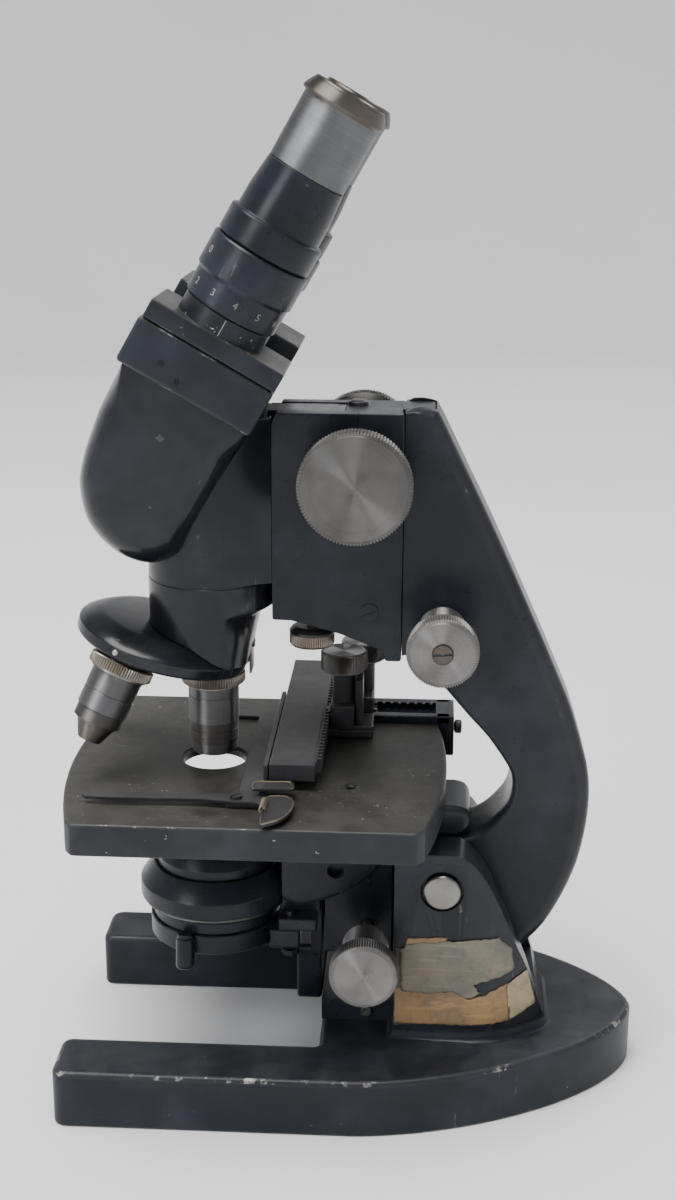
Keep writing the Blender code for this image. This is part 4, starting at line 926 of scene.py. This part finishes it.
arm_weight = ([0.04, 0.35] + [1.0] * len(arm_back) + [1.0] * len(arm_tail) + [0.3, 0.3]
              + [0.42] * (len(arm_inner) - 1) + [0.04])
arm_weight[2:5] = [0.5, 0.7, 0.9]
arm_outline, arm_weight = arm_outline[::-1], arm_weight[::-1]
arm_shape = weighted(arm_outline, round_rings(-ARM_HALF, ARM_HALF, 5.0, 7), arm_weight, SIDE)
arm = piece("limb_casting", arm_shape, "limb", "black_enamel", ENAMEL, "limb_arm")
carve(arm, channel(10, 26.0, SLIDE_HALF, 168, 262),
      rod(PIVOT_BORE, 20, -20, shaft_frame(PIVOT_X, PIVOT_Z), 48),
      rod(SHAFT_BORE, 30, -30, shaft_frame(FINE_X, FINE_Z)))

bracket_low = smooth_path([(-31.0, 76.0), (-29.0, 68.5), (-22.5, 64.6), (-13.0, 66.2), (-2.0, 71.5),
    (7.0, 79.0), (12.5, 87.0), (14.0, 94.3)], 4)
bracket_outline = ([(-31.0, 105.9)] + bracket_low + smooth_path([(36.0, 94.3), (40.5, 97.5), (41.5, 101.5),
    (39.5, 104.8), (36.0, 105.9)], 4))
bracket_shape = Shape().slab(ccw(bracket_outline), -ARM_HALF, ARM_HALF, SIDE, 2.4, None, 5)
bracket = piece("stage_bracket_casting", bracket_shape, "limb", "black_enamel", ENAMEL, "stage_bracket")
carve(bracket, channel(-40, 14.2, 10.4, 40, 98.0),
      rod(29.4, 110, 50, OPTICAL_M, 96),
      rod(3.1, 20, -20, shaft_frame(-7.4, 79.5)))

stage_outline = ([(STAGE_LEFT + 2.5, -STAGE_HALF), (STAGE_RIGHT - 3.0, -STAGE_HALF)]
    + [(STAGE_RIGHT + STAGE_BULGE * (1 - (y / 60.0) ** 2), y) for y in np.linspace(-60.5, 60.5, 33)]
    + [(STAGE_RIGHT - 3.0, STAGE_HALF), (STAGE_LEFT + 2.5, STAGE_HALF)]
    + [(STAGE_LEFT - (STAGE_BULGE + 0.8) * (1 - (y / 60.0) ** 2), y) for y in np.linspace(60.5, -60.5, 33)])
stage_outline = softened(stage_outline, 2.4, 4)
table = piece("stage_table", Shape().slab(stage_outline, STAGE_TOP - STAGE_T, STAGE_TOP, UP, 1.0, 0.6, 4),
              "limb", "stage_black", TABLE, "stage_plate")
carve(table, Shape().lathe([(0, 125), (12.4, 125), (12.4, 117.3), (11.5, 116.6), (11.5, 100), (0, 100)],
    OPTICAL_M, 72, soft=0), Shape().block((-73.0, -33.0), (-12.0, 52.0), (95.0, 114.3), 1.5),
    *[Shape().lathe([(0, 125), (2.2, 125), (2.2, 117.5), (1.7, 117.1), (1.7, 112), (0, 112)],
    moved_to(-1.6, y), 28, soft=0) for y in (-25.6, 25.6)])
node_look(ENAMEL, "substage_guide")

# rail of the mechanical stage: two walls, a floor, an end block, and the rack between the walls
rail = Shape().block((-8.0, 34.0), (38.0, 41.9), (STAGE_TOP + 0.3, 121.1), 0.4)
rail.block((-8.0, 34.0), (54.7, 58.0), (STAGE_TOP + 0.3, 121.1), 0.4)
rail.block((-8.0, 34.0), (38.0, 58.0), (STAGE_TOP + 0.3, 118.4), 0.1)
rail.block((28.4, 35.6), (38.0, 58.0), (105.0, 121.1), 0.6)
rack_m = moved_to(-7.0, 53.75, 119.6) @ Matrix.Rotation(math.pi, 4, "X")
rack = rack_outline(40.0, RACK_PITCH, 7.0 - RACK_PITCH * 1.5, 2.2)
rail.stack(rack, [(0, 1.4, 0.5), (0, -1.4, 0.5)], rack_m)
piece("mount_rail", rail, "limb", "stage_black", ENAMEL, "slide_mount")
thumbscrew = [(0, 8.4), (2.2, 8.3), (2.7, 7.9), (2.7, 5.9), (2.2, 5.5), (1.4, 5.3), (1.4, 0), (0, 0)]
thumbscrew = Shape().lathe(thumbscrew, along((1, 0, 0), (30.5, 48, 113.5)), knurl=(6.0, 7.8, 24, 0.2),
    soft=0.2)
piece("mount_thumbscrew", thumbscrew, "mount_clamp", "black_plastic", PLASTIC, "mount_clamp_screw")


# ---------------- milled knobs
def milled(name, r, y_face, y_back, x, z, body, node, teeth, bore, screw=0.0):
    """Turned head with a milled rim; its face looks along -Y or +Y."""
    sign = -1 if y_face < 0 else 1
    n = abs(y_face - y_back)
    m = shaft_frame(x, z, y_back, sign)
    rows = [(0, n), (0.8, n - 0.05), (r - 1.7, n - 0.2), (r - 1.5, n - 0.4), (r - 0.8, n - 0.45),
        (r, n - 0.8), (r, n - 6.5), (r - 0.4, n - 7.0), (r - 1.0, n - 7.4), (r - 3.5, n - 8.0), (8.5, 0.0),
        (bore, 0.0), (bore, n - 3.0), (0, n - 3.0)]
    shape = Shape().lathe(rows, m, knurl=(n - 6.7, n - 0.41, teeth, 0.55), soft=0)
    turned_piece(name, shape, body, "nickel", NICKEL if r > 15 else NICKEL_SMALL, m, node)
    if screw:
        cap = Shape().screw_head(screw, 0.7, 0.8, 4, m @ moved_to(0, 0, n - 0.35))
        turned_piece(name + "_screw", cap, body, "brass", SCREW, m)
        # black disc under and round the screw head: painted shade that darkens the slot's floor
        turned_piece(name + "_screw_seat", rod(screw + 0.4, n - 0.02, n - 0.9, m, 48), body, "black_plastic",
                     PLASTIC, m)


for sign, tag in SIDES:
    milled("coarse_knob_rim_" + tag, COARSE_R, sign * 42.3, sign * 16.0, COARSE_X, COARSE_Z, "coarse_knobs",
           "coarse_knob_" + tag, 104, 3.4)
for sign, tag in SIDES:
    milled("fine_knob_rim_" + tag, FINE_R, sign * 43.5, sign * 17.0, FINE_X, FINE_Z, "fine_knobs",
           "fine_knob_" + tag, 84, 3.0, 3.3)
milled("substage_knob_rim", 12.2, -49.7, -26.0, 4.4, 56.0, "substage_control", "substage_knob", 84, 2.8)
node_look(STEEL, "coarse_shaft", "fine_shaft", "substage_shaft")

# ---------------- focusing body
housing_outline = ([(-30.1, 175.4), (-23.5, 175.3), (-10.7, 171.9), (-5.9, 170.6), (4.2, 166.6), (9.0, 164.4),
                    (9.7, 161.0), (SEAM_X, 161.0), (SEAM_X, 248.8), (-28.3, 248.8), (-30.1, 245.0)])
housing_outline = softened(housing_outline, 1.0, 4)
housing_shape = Shape().slab(ccw(housing_outline), -ARM_HALF, ARM_HALF, SIDE, 0.3, None, 3, 0.3)
housing = piece("focus_body_casting", housing_shape, "fine_slide", "black_enamel", ENAMEL, "focus_housing")
carve(housing, channel(-40, -4.9, SLIDE_HALF, 177.6, 260), channel(-7, 8.0, SLIDE_HALF, 220, 238),
      rod(SHAFT_BORE, 30, -30, shaft_frame(COARSE_X, COARSE_Z)),
      Shape().block((-0.6, -0.38), (-20, -12.5), (231.5, 260), 0.05),
      rod(2.3, 177, 160, moved_to(CLAMP_X), 24))

# slide behind the housing, with one screw on the near side
trim = Shape().block((14.5, 25.6), (-8, 8), (172, 249.7), 0.4)
trim.screw_head(3.3, 0.55, 0.6, 20, along((0, -1, 0), (4.0, -13.9, 178.8)))
piece("focus_body_slide", trim, "fine_slide", "black_enamel", ENAMEL)
piece("tension_button", Shape().lathe([(0, 1.9), (2.2, 1.8), (3.4, 1.2), (3.6, 0.4), (3.6, -0.2), (0, -0.2)],
    moved_to(-1.2, 4.4, 248.8), 48, soft=0.3), "fine_slide", "black_plastic", PLASTIC)
clamp_m = along((0, 0, 1), (CLAMP_X, 0, 158.8))
piece("body_clamp_thumbscrew", Shape().lathe([(0, 17.0), (2.0, 17.0), (2.0, 10.6), (6.8, 10.2), (7.6, 8.6),
    (8.1, 8.0), (8.1, 4.4), (7.4, 3.6), (0, 3.6)], clamp_m, knurl=(4.3, 8.1, 60, 0.3), soft=0), "body_clamp",
    "nickel", COLLAR, "body_clamp_knob")
piece("body_clamp_cap", Shape().lathe([(0, 10.8), (6.0, 10.8), (7.2, 10.35), (8.2, 9.2), (8.3, 8.1),
    (0, 8.1)], clamp_m, 64, soft=0.3), "body_clamp", "black_plastic", PLASTIC)

# ---------------- body tube and head
teardrop = arc(AXIS_X, 0, NOSE_R, 64, 296, 72) + [(-30.22, -14.0), (-30.22, 14.0)]
barrel = Shape().slab(ccw(teardrop), 188.7, 247.0, UP, 0.4, 0.3, 3)
barrel.block((-9.9, -5.2), (-8.0, 8.0), (240.0, 248.4), 0.3)
barrel.block((-32.0, -8.0), (-8.0, 8.0), (188.6, 248.5), 0.3)
barrel.block((-28.5, -8.6), (-7.6, 7.6), (180.0, 190.0), 0.3)
piece("body_barrel", barrel, "body_tube", "black_enamel", ENAMEL_GLOSS, "nose_barrel")
piece("barrel_seam_ring", rod(22.2, 188.9, 187.9, OPTICAL_M, 96), "body_tube", "black_enamel", ENAMEL_GLOSS)
skirt_levels = (187.9, 183, 178.5, 177, 175.5, 167, 158, 149, 140, 130)
skirt = Shape().lathe([(0, 188.1), (22.3, 188.1)] + [(NOSE_R, z) for z in skirt_levels] + [(0, 130.0)],
                      OPTICAL_M, 128, soft=0)


def skirt_x(x, z):
    """The side towards the arm is drawn in below the seam."""
    return AXIS_X + (x - AXIS_X) * float(np.interp(z, (158, 175.5, 178.5), (0.62, 0.78, 1.0)))


skirt.verts = [(skirt_x(x, z) if x > AXIS_X else x, y, z) for x, y, z in skirt.verts]
nose = piece("nosepiece_skirt", skirt, "body_tube", "black_enamel", ENAMEL_GLOSS, "nosepiece_holder")
carve(nose, Shape().lathe([(0, 9.4), (22.2, 9.4), (25.4, 8.8), (28.8, 7.1), (TURRET_R - 0.4, 5.5),
    (TURRET_R + 0.4, 4.8), (80.0, 4.8), (80.0, -80.0), (0, -80.0)], TURRET_M, 96, soft=0),
    Shape().block((-39.9, -38.2), (-4.8, 4.8), (140.0, 166.3), 0.1), rod(3.2, 30, 0, TURRET_M, 24),
    rod(9.5, 175, 120, OPTICAL_M, 48))
dress(nose, 0.5, ENAMEL_GLOSS, 2, 40)
spring = Shape().block((-39.4, -38.6), (-4.3, 4.3), (152.0, 166.0), 0.25)
spring.screw_head(1.7, 1.0, 0.45, 60, along((1, 0, 0), (-38.7, 0, 162.5)))
piece("detent_leaf", spring, "body_tube", "nickel", SCREW, "detent_spring")

pod_low = smooth_path([(-23.5, -66.4), (-23.7, -86.3), (-22.4, -98.0), (-20.3, -109.0), (-16.6, -118.4),
                       (-7.5, -128.3), (5.5, -132.6), (17.0, -130.8), (23.6, -124.5), (25.4, -115.7),
                       (25.4, -66.4)], 6)
pod_weight = [min(1.0, max(0.12, (-66.4 - t) / 16.0)) for w, t in pod_low]
turning = sum(a[0] * b[1] - b[0] * a[1] for a, b in zip(pod_low, pod_low[1:] + pod_low[:1]))
if turning < 0:
    pod_low, pod_weight = pod_low[::-1], pod_weight[::-1]
pod = weighted(pod_low, bulge_rings(31.0, 0.44, 2.9, 18), pod_weight, HEAD_SIDE, (1.5, -86.0))
pod.wear = [0.0] * len(pod.wear)
piece("prism_pod", pod, "body_tube", "black_enamel", ENAMEL_GLOSS, "prism_housing", smooth=50)
block = Shape().block((-23.5, 25.4), (-47, 47), (-66.3, -50.0), 1.3, HEAD_PLAN)
piece("head_block_casting", block, "body_tube", "black_enamel", ENAMEL_HEAD, "head_block")
for i, (x, z, turn) in enumerate(((-61.9, 270.2, 25), (-57.1, 264.2, 70))):
    piece("head_block_screw_%d" % i, Shape().screw_head(1.1, 0.35, 0.3, turn,
        along((0, -1, 0), (x, -46.9, z))), "body_tube", "black_enamel", ENAMEL)
node_look(BRASS, "coarse_rack")
node_look(GLASS, "beam_splitter_prism")
node_look(STEEL, "nosepiece_pivot")

# ---------------- revolving nosepiece
APEX = Vector((AXIS_X, 0, APEX_Z))


def objective_frame(index):
    spin = Matrix.Rotation(math.radians(120.0 * index), 4, TURRET_AXIS)
    up, side = spin @ Vector((0, 0, 1)), spin @ Vector((1, 0, 0))
    third = up.cross(side)
    m = Matrix([[side[i], third[i], up[i]] for i in range(3)]).to_4x4()
    m.translation = APEX
    return m


disc = Shape().lathe([(22.0, 9.0), (25.0, 8.3), (28.4, 6.6), (TURRET_R - 0.7, 5.0), (TURRET_R, 4.2),
    (TURRET_R, 0.9), (TURRET_R - 0.5, 0.1), (TURRET_R - 1.6, 0.0), (3.3, 0.0), (3.3, 9.0)], TURRET_M, 128,
    soft=0.5, closed=True)
for index in range(3):
    disc.lathe([(0, -66.5), (10.9, -66.5), (10.9, -73.3), (10.5, -73.7), (0, -73.7)], objective_frame(index),
        72, soft=0.2)
turned_piece("turret_disc", disc, "nosepiece", "black_enamel", ENAMEL_GLOSS, TURRET_M, "revolving_turret")
for angle, tag in ((246, "a"), (6, "b"), (126, "c")):
    a = math.radians(angle)
    spot = (Vector(TURRET_AT) - TURRET_AXIS * 2.6 + Vector((0, 31.2 * math.sin(a), 0))
            + Vector((math.cos(TURRET_TILT), 0, -math.sin(TURRET_TILT))) * 31.2 * math.cos(a))
    ball = Shape().lathe([(1.25 * math.sin(math.radians(t)), 1.25 * math.cos(math.radians(t)))
        for t in range(0, 181, 15)], Matrix.Translation(spot), 24, soft=0)
    piece("turret_index_ball_" + tag, ball, "nosepiece", "steel", STEEL)

# per objective: rows of radius and distance below the apex, band limits and tip
OBJECTIVES = (
    ("low", [(9.2, 79.2), (9.2, 82.5), (9.0, 82.7), (9.0, 83.0), (9.2, 83.2), (9.2, 92.4), (8.8, 92.6)],
     [(8.9, 92.6), (8.9, 95.0), (8.6, 95.2), (8.6, 95.6), (8.9, 95.8), (8.9, 98.0), (8.6, 98.2), (8.6, 98.6),
      (8.9, 98.8), (8.9, 100.4)], [(8.4, 100.4), (8.4, 103.7), (8.1, 104.5), (7.2, 104.6)], 5.0),
    ("high", [(9.2, 79.2), (9.2, 86.0), (9.0, 86.2), (9.0, 86.5), (9.2, 86.7), (9.2, 93.0)],
     [(8.7, 93.0), (8.7, 97.4)], [(8.5, 97.4), (7.0, 98.4), (4.5, 103.9), (4.0, 104.6)], 2.2),
    ("oil", [(9.2, 79.2), (9.2, 84.0), (9.0, 84.2), (9.0, 84.5), (9.2, 84.7), (9.2, 92.0)],
     [(8.7, 92.0), (8.7, 96.8)], [(8.5, 96.8), (6.6, 98.2), (3.7, 104.3), (3.2, 105.0)], 1.8),
)
for index, (tag, upper, band, tip, lens_r) in enumerate(OBJECTIVES):
    m = objective_frame(index)
    end = tip[-1][1]
    rows = [(8.0, -67.0), (8.0, -73.8), (9.3, -73.8), (9.3, -79.0)]
    rows += [(r, -d) for r, d in upper] + [(8.0, -upper[-1][1])]
    inner = [(lens_r + 1, -upper[-1][1]), (6.6, -86.0), (6.6, -67.0)]
    ring_piece("objective_barrel_" + tag, rows + inner, m, "nosepiece", "nickel", NICKEL_LENS,
        "objective_" + tag, seg=120, soft=0.18)
    ring = [(9.0, -74.0), (11.0, -74.0), (11.6, -74.5), (11.6, -77.6), (11.2, -78.0), (10.2, -78.2),
        (10.2, -78.8), (9.0, -78.8)]
    ring_piece("objective_collar_" + tag, ring, m, "nosepiece", "brass", COLLAR, soft=0,
               knurl=(-77.8, -74.3, 72, 0.5))
    rows = [(r, -d) for r, d in band] + [(lens_r + 0.8, -band[-1][1]), (lens_r + 0.8, -band[0][1])]
    ring_piece("objective_band_" + tag, rows, m, "nosepiece", "nickel", BRONZE, soft=0.1)
    rows = [(r, -d) for r, d in tip] + [(lens_r, -end), (lens_r, -end + 1.2), (lens_r - 0.5, -end + 1.2),
        (lens_r - 0.5, -tip[0][1])]
    ring_piece("objective_tip_" + tag, rows, m, "nosepiece", "nickel", NICKEL if tag == "low" else NICKEL_CAP)
    rows = [(0, -end + 2.6), (lens_r - 0.6, -end + 2.6), (lens_r - 0.6, -end + 1.4),
        (lens_r * 0.5, -end + 1.1), (0, -end + 1.0)]
    turned_piece("objective_lens_" + tag, Shape().lathe(rows, m, 48, soft=0), "nosepiece", "glass", LENS, m)


# ---------------- eyepiece tubes
for sign, tag in SIDES:
    tm = moved_to(0, sign * HALF_PD) @ HEAD_PLAN
    ys = (16.0, 47.0) if sign > 0 else (-47.0, -16.0)
    slide = Shape().block((-22.5, 25.4), ys, (-49.7, -43.2), 0.7, HEAD_PLAN)
    slide.lathe([(12.2, -28.0), (14.6, -28.0), (14.6, -37.0), (15.2, -37.2), (15.2, -43.6), (15.8, -44.4),
                 (15.8, -45.0), (12.2, -45.0)], tm, 96, soft=0.25, closed=True)
    piece("eyepiece_carrier_" + tag, slide, "tube_" + tag, "black_enamel", ENAMEL_HEAD, "tube_slide_" + tag)
    ring = [(14.9, -15.4), (16.2, -15.4), (16.8, -16.0), (16.8, -26.9), (16.3, -27.6), (15.9, -28.2),
        (15.9, -36.4), (14.9, -36.4)]
    ring_piece("diopter_collar_" + tag, ring, tm, "ring_" + tag, "black_enamel", ENAMEL,
        "diopter_ring_" + tag, seg=160, soft=0.22)
    marks = Shape()
    for k in range(8):
        marks.digits(str(k + 1), 15.88, 3.3, -176.5 + 30.5 * k, -32.2, tm)
    marks.digits("0", 16.78, 3.6, -148.0, -21.5, tm)
    turned_piece("diopter_scale_" + tag, marks, "ring_" + tag, "nickel", INK, tm)
    draw = [(12.5, 12.8), (13.3, 12.8), (14.4, 2.0), (14.5, -5.0), (16.0, -5.7), (16.2, -6.2), (16.2, -14.3),
        (15.9, -14.8), (14.5, -15.1), (14.5, -27.6), (12.5, -27.6)]
    ring_piece("eyepiece_sleeve_" + tag, draw, tm, "drawtube_" + tag, "black_enamel", ENAMEL,
               "eyepiece_tube_" + tag, seg=160, soft=0.25)
    line = Shape().block((15.05, 15.28), (-0.14, 0.14), (-43.2, -37.6), 0.02,
        tm @ Matrix.Rotation(math.radians(-86), 4, "Z"), 1)
    turned_piece("carrier_index_" + tag, line, "tube_" + tag, "nickel", INK, tm)
    barrel = [(12.9, 35.3), (13.2, 34.9), (13.2, 13.1), (12.1, 13.1), (12.1, -20.0), (10.6, -20.0),
        (10.6, 30.5), (12.9, 30.6)]
    ring_piece("eyepiece_barrel_" + tag, barrel, tm, "ocular_" + tag, "nickel", PALE, "eyepiece_" + tag,
        seg=128)
    rim = [(9.0, 39.7), (12.78, 39.7), (14.2, 37.0), (14.5, 36.1), (14.2, 35.5), (13.4, 35.2), (10.7, 30.7),
        (9.0, 31.5)]
    ring_piece("eyepiece_cap_" + tag, rim, tm, "ocular_" + tag, "nickel", NICKEL_CAP, seg=128)
    lip = [(9.0, 38.3), (10.6, 39.0), (11.2, 40.3), (11.9, 40.8), (12.45, 40.2), (12.5, 38.0), (9.0, 38.0)]
    ring_piece("eyepiece_lip_" + tag, lip, tm, "ocular_" + tag, "nickel", NICKEL_CAP, seg=128)
node_look(LENS, "eye_lens_near", "eye_lens_far")


# ---------------- mechanical stage
bar = Shape().block((-30.0, -13.95), (-30.6, 83.0), (123.8, 128.0), 0.5)
bar.block((-30.0, -24.0), (-30.6, 83.0), (121.6, 124.6), 0.3)
bar.block((-18.0, -13.95), (-30.6, 83.0), (121.6, 124.6), 0.3)
bar.stack(rack_outline(108.0, BAR_PITCH, 56.0 - BAR_PITCH * 17.5, 0.6), [(0, 2.6, 0.6), (0, -2.6, 0.6)],
          Matrix(((0, 1, 0, -13.55), (1, 0, 0, -28.0), (0, 0, -1, 125.1), (0, 0, 0, 1))))
bar.block((-30.05, -13.9), (-31.0, -29.6), (121.6, 128.03), 0.35)
piece("crosswise_bar", bar, "slide_bar", "stage_black", MECHANISM, "cross_bar")
carriage = Shape().block((-11.6, -2.6), (20.0, 37.0), (121.5, 131.0), 0.5)
carriage.block((-11.6, 4.0), (36.0, 59.0), (121.5, 129.0), 0.5)
carriage.block((-11.2, 4.6), (20.8, 35.6), (118.3, 123.0), 0.4)
carriage.block((-25.0, 4.6), (20.4, 36.0), (118.3, 121.3), 0.4)
carriage.block((-23.5, -18.5), (20.8, 35.6), (120.8, 123.4), 0.3)
carriage.block((-2.2, 0.6), (22.5, 33.5), (122.0, 140.5), 0.4)
for (x, y), top in ((CROSS_HEAD_AT, 141.9), (LONG_HEAD_AT, 139.9)):
    carriage.lathe([(2.7, top), (4.1, top), (4.3, top - 0.4), (4.3, 120.0), (2.7, 120.0)], moved_to(x, y),
                   48, soft=0.2, closed=True)
piece("carriage_casting", carriage, "cross_carriage", "stage_black", MECHANISM, "carriage_block")

holder = [(-30.3, 46.0), (-49.0, 46.0), (-49.0, 39.0), (-40.3, 38.6), (-40.3, -38.6), (-43.6, -40.2),
    (-43.6, -47.0), (-24.0, -47.0), (-22.5, -45.0), (-22.5, -40.0), (-24.0, -38.0), (-30.3, -38.0)]
holder = Shape().slab(softened(ccw(holder), 0.8, 3), 118.1, 119.3, UP, 0.25, None, 2, 0.2)
holder.block((-32.0, -30.4), (-30.8, 45.6), (118.7, 127.4), 0.3)
piece("slide_holder_frame", holder, "slide_bar", "stage_black", MECHANISM, "slide_holder")
loop = softened([(-35.2, -40.5, 1.2), (-34.4, -34.2, 2.4), (-21.2, -33.7, 2.6), (-20.6, -40.0, 1.4)], 2.0, 6)
arch = Shape().slab(ccw(loop), 121.5, 122.6, UP, 0.2, None, 2, 0.15)
arch.block((-33.0, -31.0), (-36.4, -34.2), (119.0, 122.0), 0.2)
piece("holder_loop_plate", arch, "slide_bar", "stage_black", MECHANISM)
rim = smooth_path([(x, y, 122.6) for x, y in loop[2:-2]], 2)
piece("holder_loop_edge", Shape().tube(rim, 0.3), "slide_bar", "brass", EDGE)
piece("finger_pivot_screw", Shape().screw_head(2.1, 0.9, 0.5, 40, moved_to(*FINGER_AT, 120.9))
      .lathe([(0, 121.0), (1.5, 121.0), (1.5, 119.6), (0, 119.6)], moved_to(*FINGER_AT), 32, soft=0),
      "slide_bar", "brass", MECHANISM, "finger_stud")

# spring finger: blade, boss and curled lever in plan
blade = smooth_path([(-93.5, -44.6), (-84.0, -41.6), (-66.0, -41.4), (-52.0, -41.6), (-44.0, -41.2)], 6)
blade += [(-42.5, -40.6), (-37.6, -41.6), (-35.0, -44.0), (-33.6, -47.0)]
lever = smooth_path([(-23.4, -42.5), (-20.6, -45.5), (-20.4, -54.0), (-23.4, -61.5), (-28.8, -65.9)], 6)
outline = blade[:-2] + [(-33.6, -43.2), (-28.6, -42.4)] + lever
outline += [(-29.8, -65.6), (-30.2, -49.8), (-33.4, -47.8), (-41.4, -47.6), (-52.0, -46.0), (-70.0, -46.4),
            (-84.0, -46.6), (-92.0, -46.2)]
finger = piece("holder_finger_blade", Shape().slab(ccw(outline), 119.6, 120.8, UP, 0.22, None, 2, 0.15),
    "finger", "stage_black", MECHANISM, "holder_finger")
carve(finger, rod(1.8, 123, 117, moved_to(*FINGER_AT)))
ring = [(x, y + 0.2, 120.85) for x, y in [(-30.0, -45.0), (-28.4, -42.8)] + lever + [(-29.7, -65.2)]]
edge = Shape().tube(smooth_path(ring + [(-30.1, -56.0, 120.85), (-30.0, -45.2, 120.85)], 2), 0.3)
coil = [(-29.8 + 1.15 * math.cos(t * 0.7), -48.5 - 0.13 * t, 121.6 + 1.15 * math.sin(t * 0.7))
    for t in range(0, 66)]
edge.tube(coil, 0.3, 8)
piece("holder_finger_edge", edge, "finger", "brass", EDGE)


def control(name, at, body, node, z_low, gear_z, pitch_r, teeth, phase, z_knob):
    """Milled head on a spindle, with the pinion at its lower end."""
    z0, z1 = z_knob
    m = moved_to(*at)
    rows = [(0, z1 - 0.3), (7.2, z1 - 0.2), (7.5, z1), (7.8, z1), (8.2, z1 - 0.06), (8.8, z1 - 0.6),
        (8.8, z0 + 1.1), (8.4, z0 + 0.7), (7.4, z0), (2.4, z0 - 0.2), (2.4, z_low), (0, z_low)]
    shape = Shape().lathe(rows, m, knurl=(z0 + 0.9, z1 - 0.05, 84, 0.36), soft=0)
    gear = []
    for i in range(teeth):
        a = math.radians(phase) + i * TAU / teeth
        for r, f in ((pitch_r - 1.1, -0.62), (pitch_r + 0.6, -0.36), (pitch_r + 0.6, 0.36),
                (pitch_r - 1.1, 0.62)):
            w = f * 0.34 * TAU / teeth
            gear.append((r * math.cos(a + w), r * math.sin(a + w)))
    shape.stack(gear, [(0, gear_z[1], 0.5), (0, gear_z[0], 0.5)], m)
    turned_piece(name, shape, body, "nickel", NICKEL_SMALL, m, node)


control("crosswise_head", CROSS_HEAD_AT, "cross_control", "crosswise_knob", 120.6, (122.3, 127.8), 6.0, 12,
    180.0, (143.0, 151.0))
control("lengthwise_head", LONG_HEAD_AT, "long_control", "lengthwise_knob", 118.4, (118.5, 120.7), 5.0, 10,
    90.0, (141.0, 149.0))

# ---------------- substage
# slide with its tongue, arms to the condenser and the filter pivot, and the ring that holds the condenser
sub = Shape().block((-17.0, -12.5), (-9.6, 9.6), (42.0, 94.0), 0.6)
sub.block((-13.4, -3.4), (-5.0, 5.0), (52.0, 93.0), 0.3)
sub.block((-22.0, -12.7), (-9.4, 9.4), (24.0, 46.0), 1.2)
sub.block((-30.3, -15.0), (-9.3, 9.3), (66.0, 74.0), 0.6)
sub.block((-28.0, -14.0), (-19.6, -7.0), (57.3, 62.0), 0.6)
sub.block((-28.0, -13.0), (-12.0, 9.3), (61.0, 67.0), 0.6)
sub.lathe([(22.4, 77.6), (23.4, 77.6), (28.1, 71.6), (28.5, 70.8), (28.5, 65.2), (28.0, 64.6),
           (22.4, 64.6)], OPTICAL_M, 144, soft=0.4, closed=True)
piece("condenser_carrier", sub, "substage", "black_enamel", ENAMEL, "substage_slide")
lens_mount = [(9.5, 103.5), (12.0, 103.5), (13.5, 101.5), (15.5, 88.0), (19.5, 86.0), (22.1, 81.0),
    (22.1, 64.3), (24.0, 64.3), (24.0, 61.9), (23.7, 61.6), (24.0, 61.3), (24.0, 57.2), (18.5, 57.2),
    (18.5, 80.0), (12.0, 92.0), (9.5, 96.0)]
ring_piece("condenser_mount", lens_mount, OPTICAL_M, "substage", "black_enamel", ENAMEL, "condenser_body",
           seg=128, soft=0.25)
ring_piece("condenser_trim", [(23.9, 64.7), (27.9, 64.7), (27.9, 64.1), (27.4, 63.6), (24.4, 63.6),
    (24.3, 61.95), (23.9, 61.95)], OPTICAL_M, "substage", "nickel", NICKEL, seg=128, soft=0.1)
# the condenser lens gets the pale diffuse colour: painted light in the stage hole
node_look(CONDENSER_PAINTED_LIGHT, "condenser_lens")
node_look(STEEL, "iris_diaphragm")
node_look(ENAMEL, "filter_pivot")
node_look(BRASS, "substage_rack")
ring = Shape().lathe([(19.0, 56.9), (24.6, 56.9), (25.0, 56.5), (25.0, 49.8), (24.6, 49.4), (18.0, 49.4),
    (18.0, 51.0), (19.0, 51.0)], OPTICAL_M, 128, soft=0.2, closed=True)
ring.block((-31.5, -20.5), (-18.5, -12.0), (49.4, 56.9), 0.8)
ring.lathe([(0, 13.0), (2.4, 13.0), (3.1, 12.5), (3.4, 11.6), (3.4, 2.0), (3.0, 1.4), (3.0, 0), (0, 0)],
           along((0.0, -0.2, -1.0), (-61.8, -24.6, 57.8)), 48, soft=0.4)
piece("filter_ring_arm", ring, "filter_arm", "black_enamel", ENAMEL, "filter_carrier")
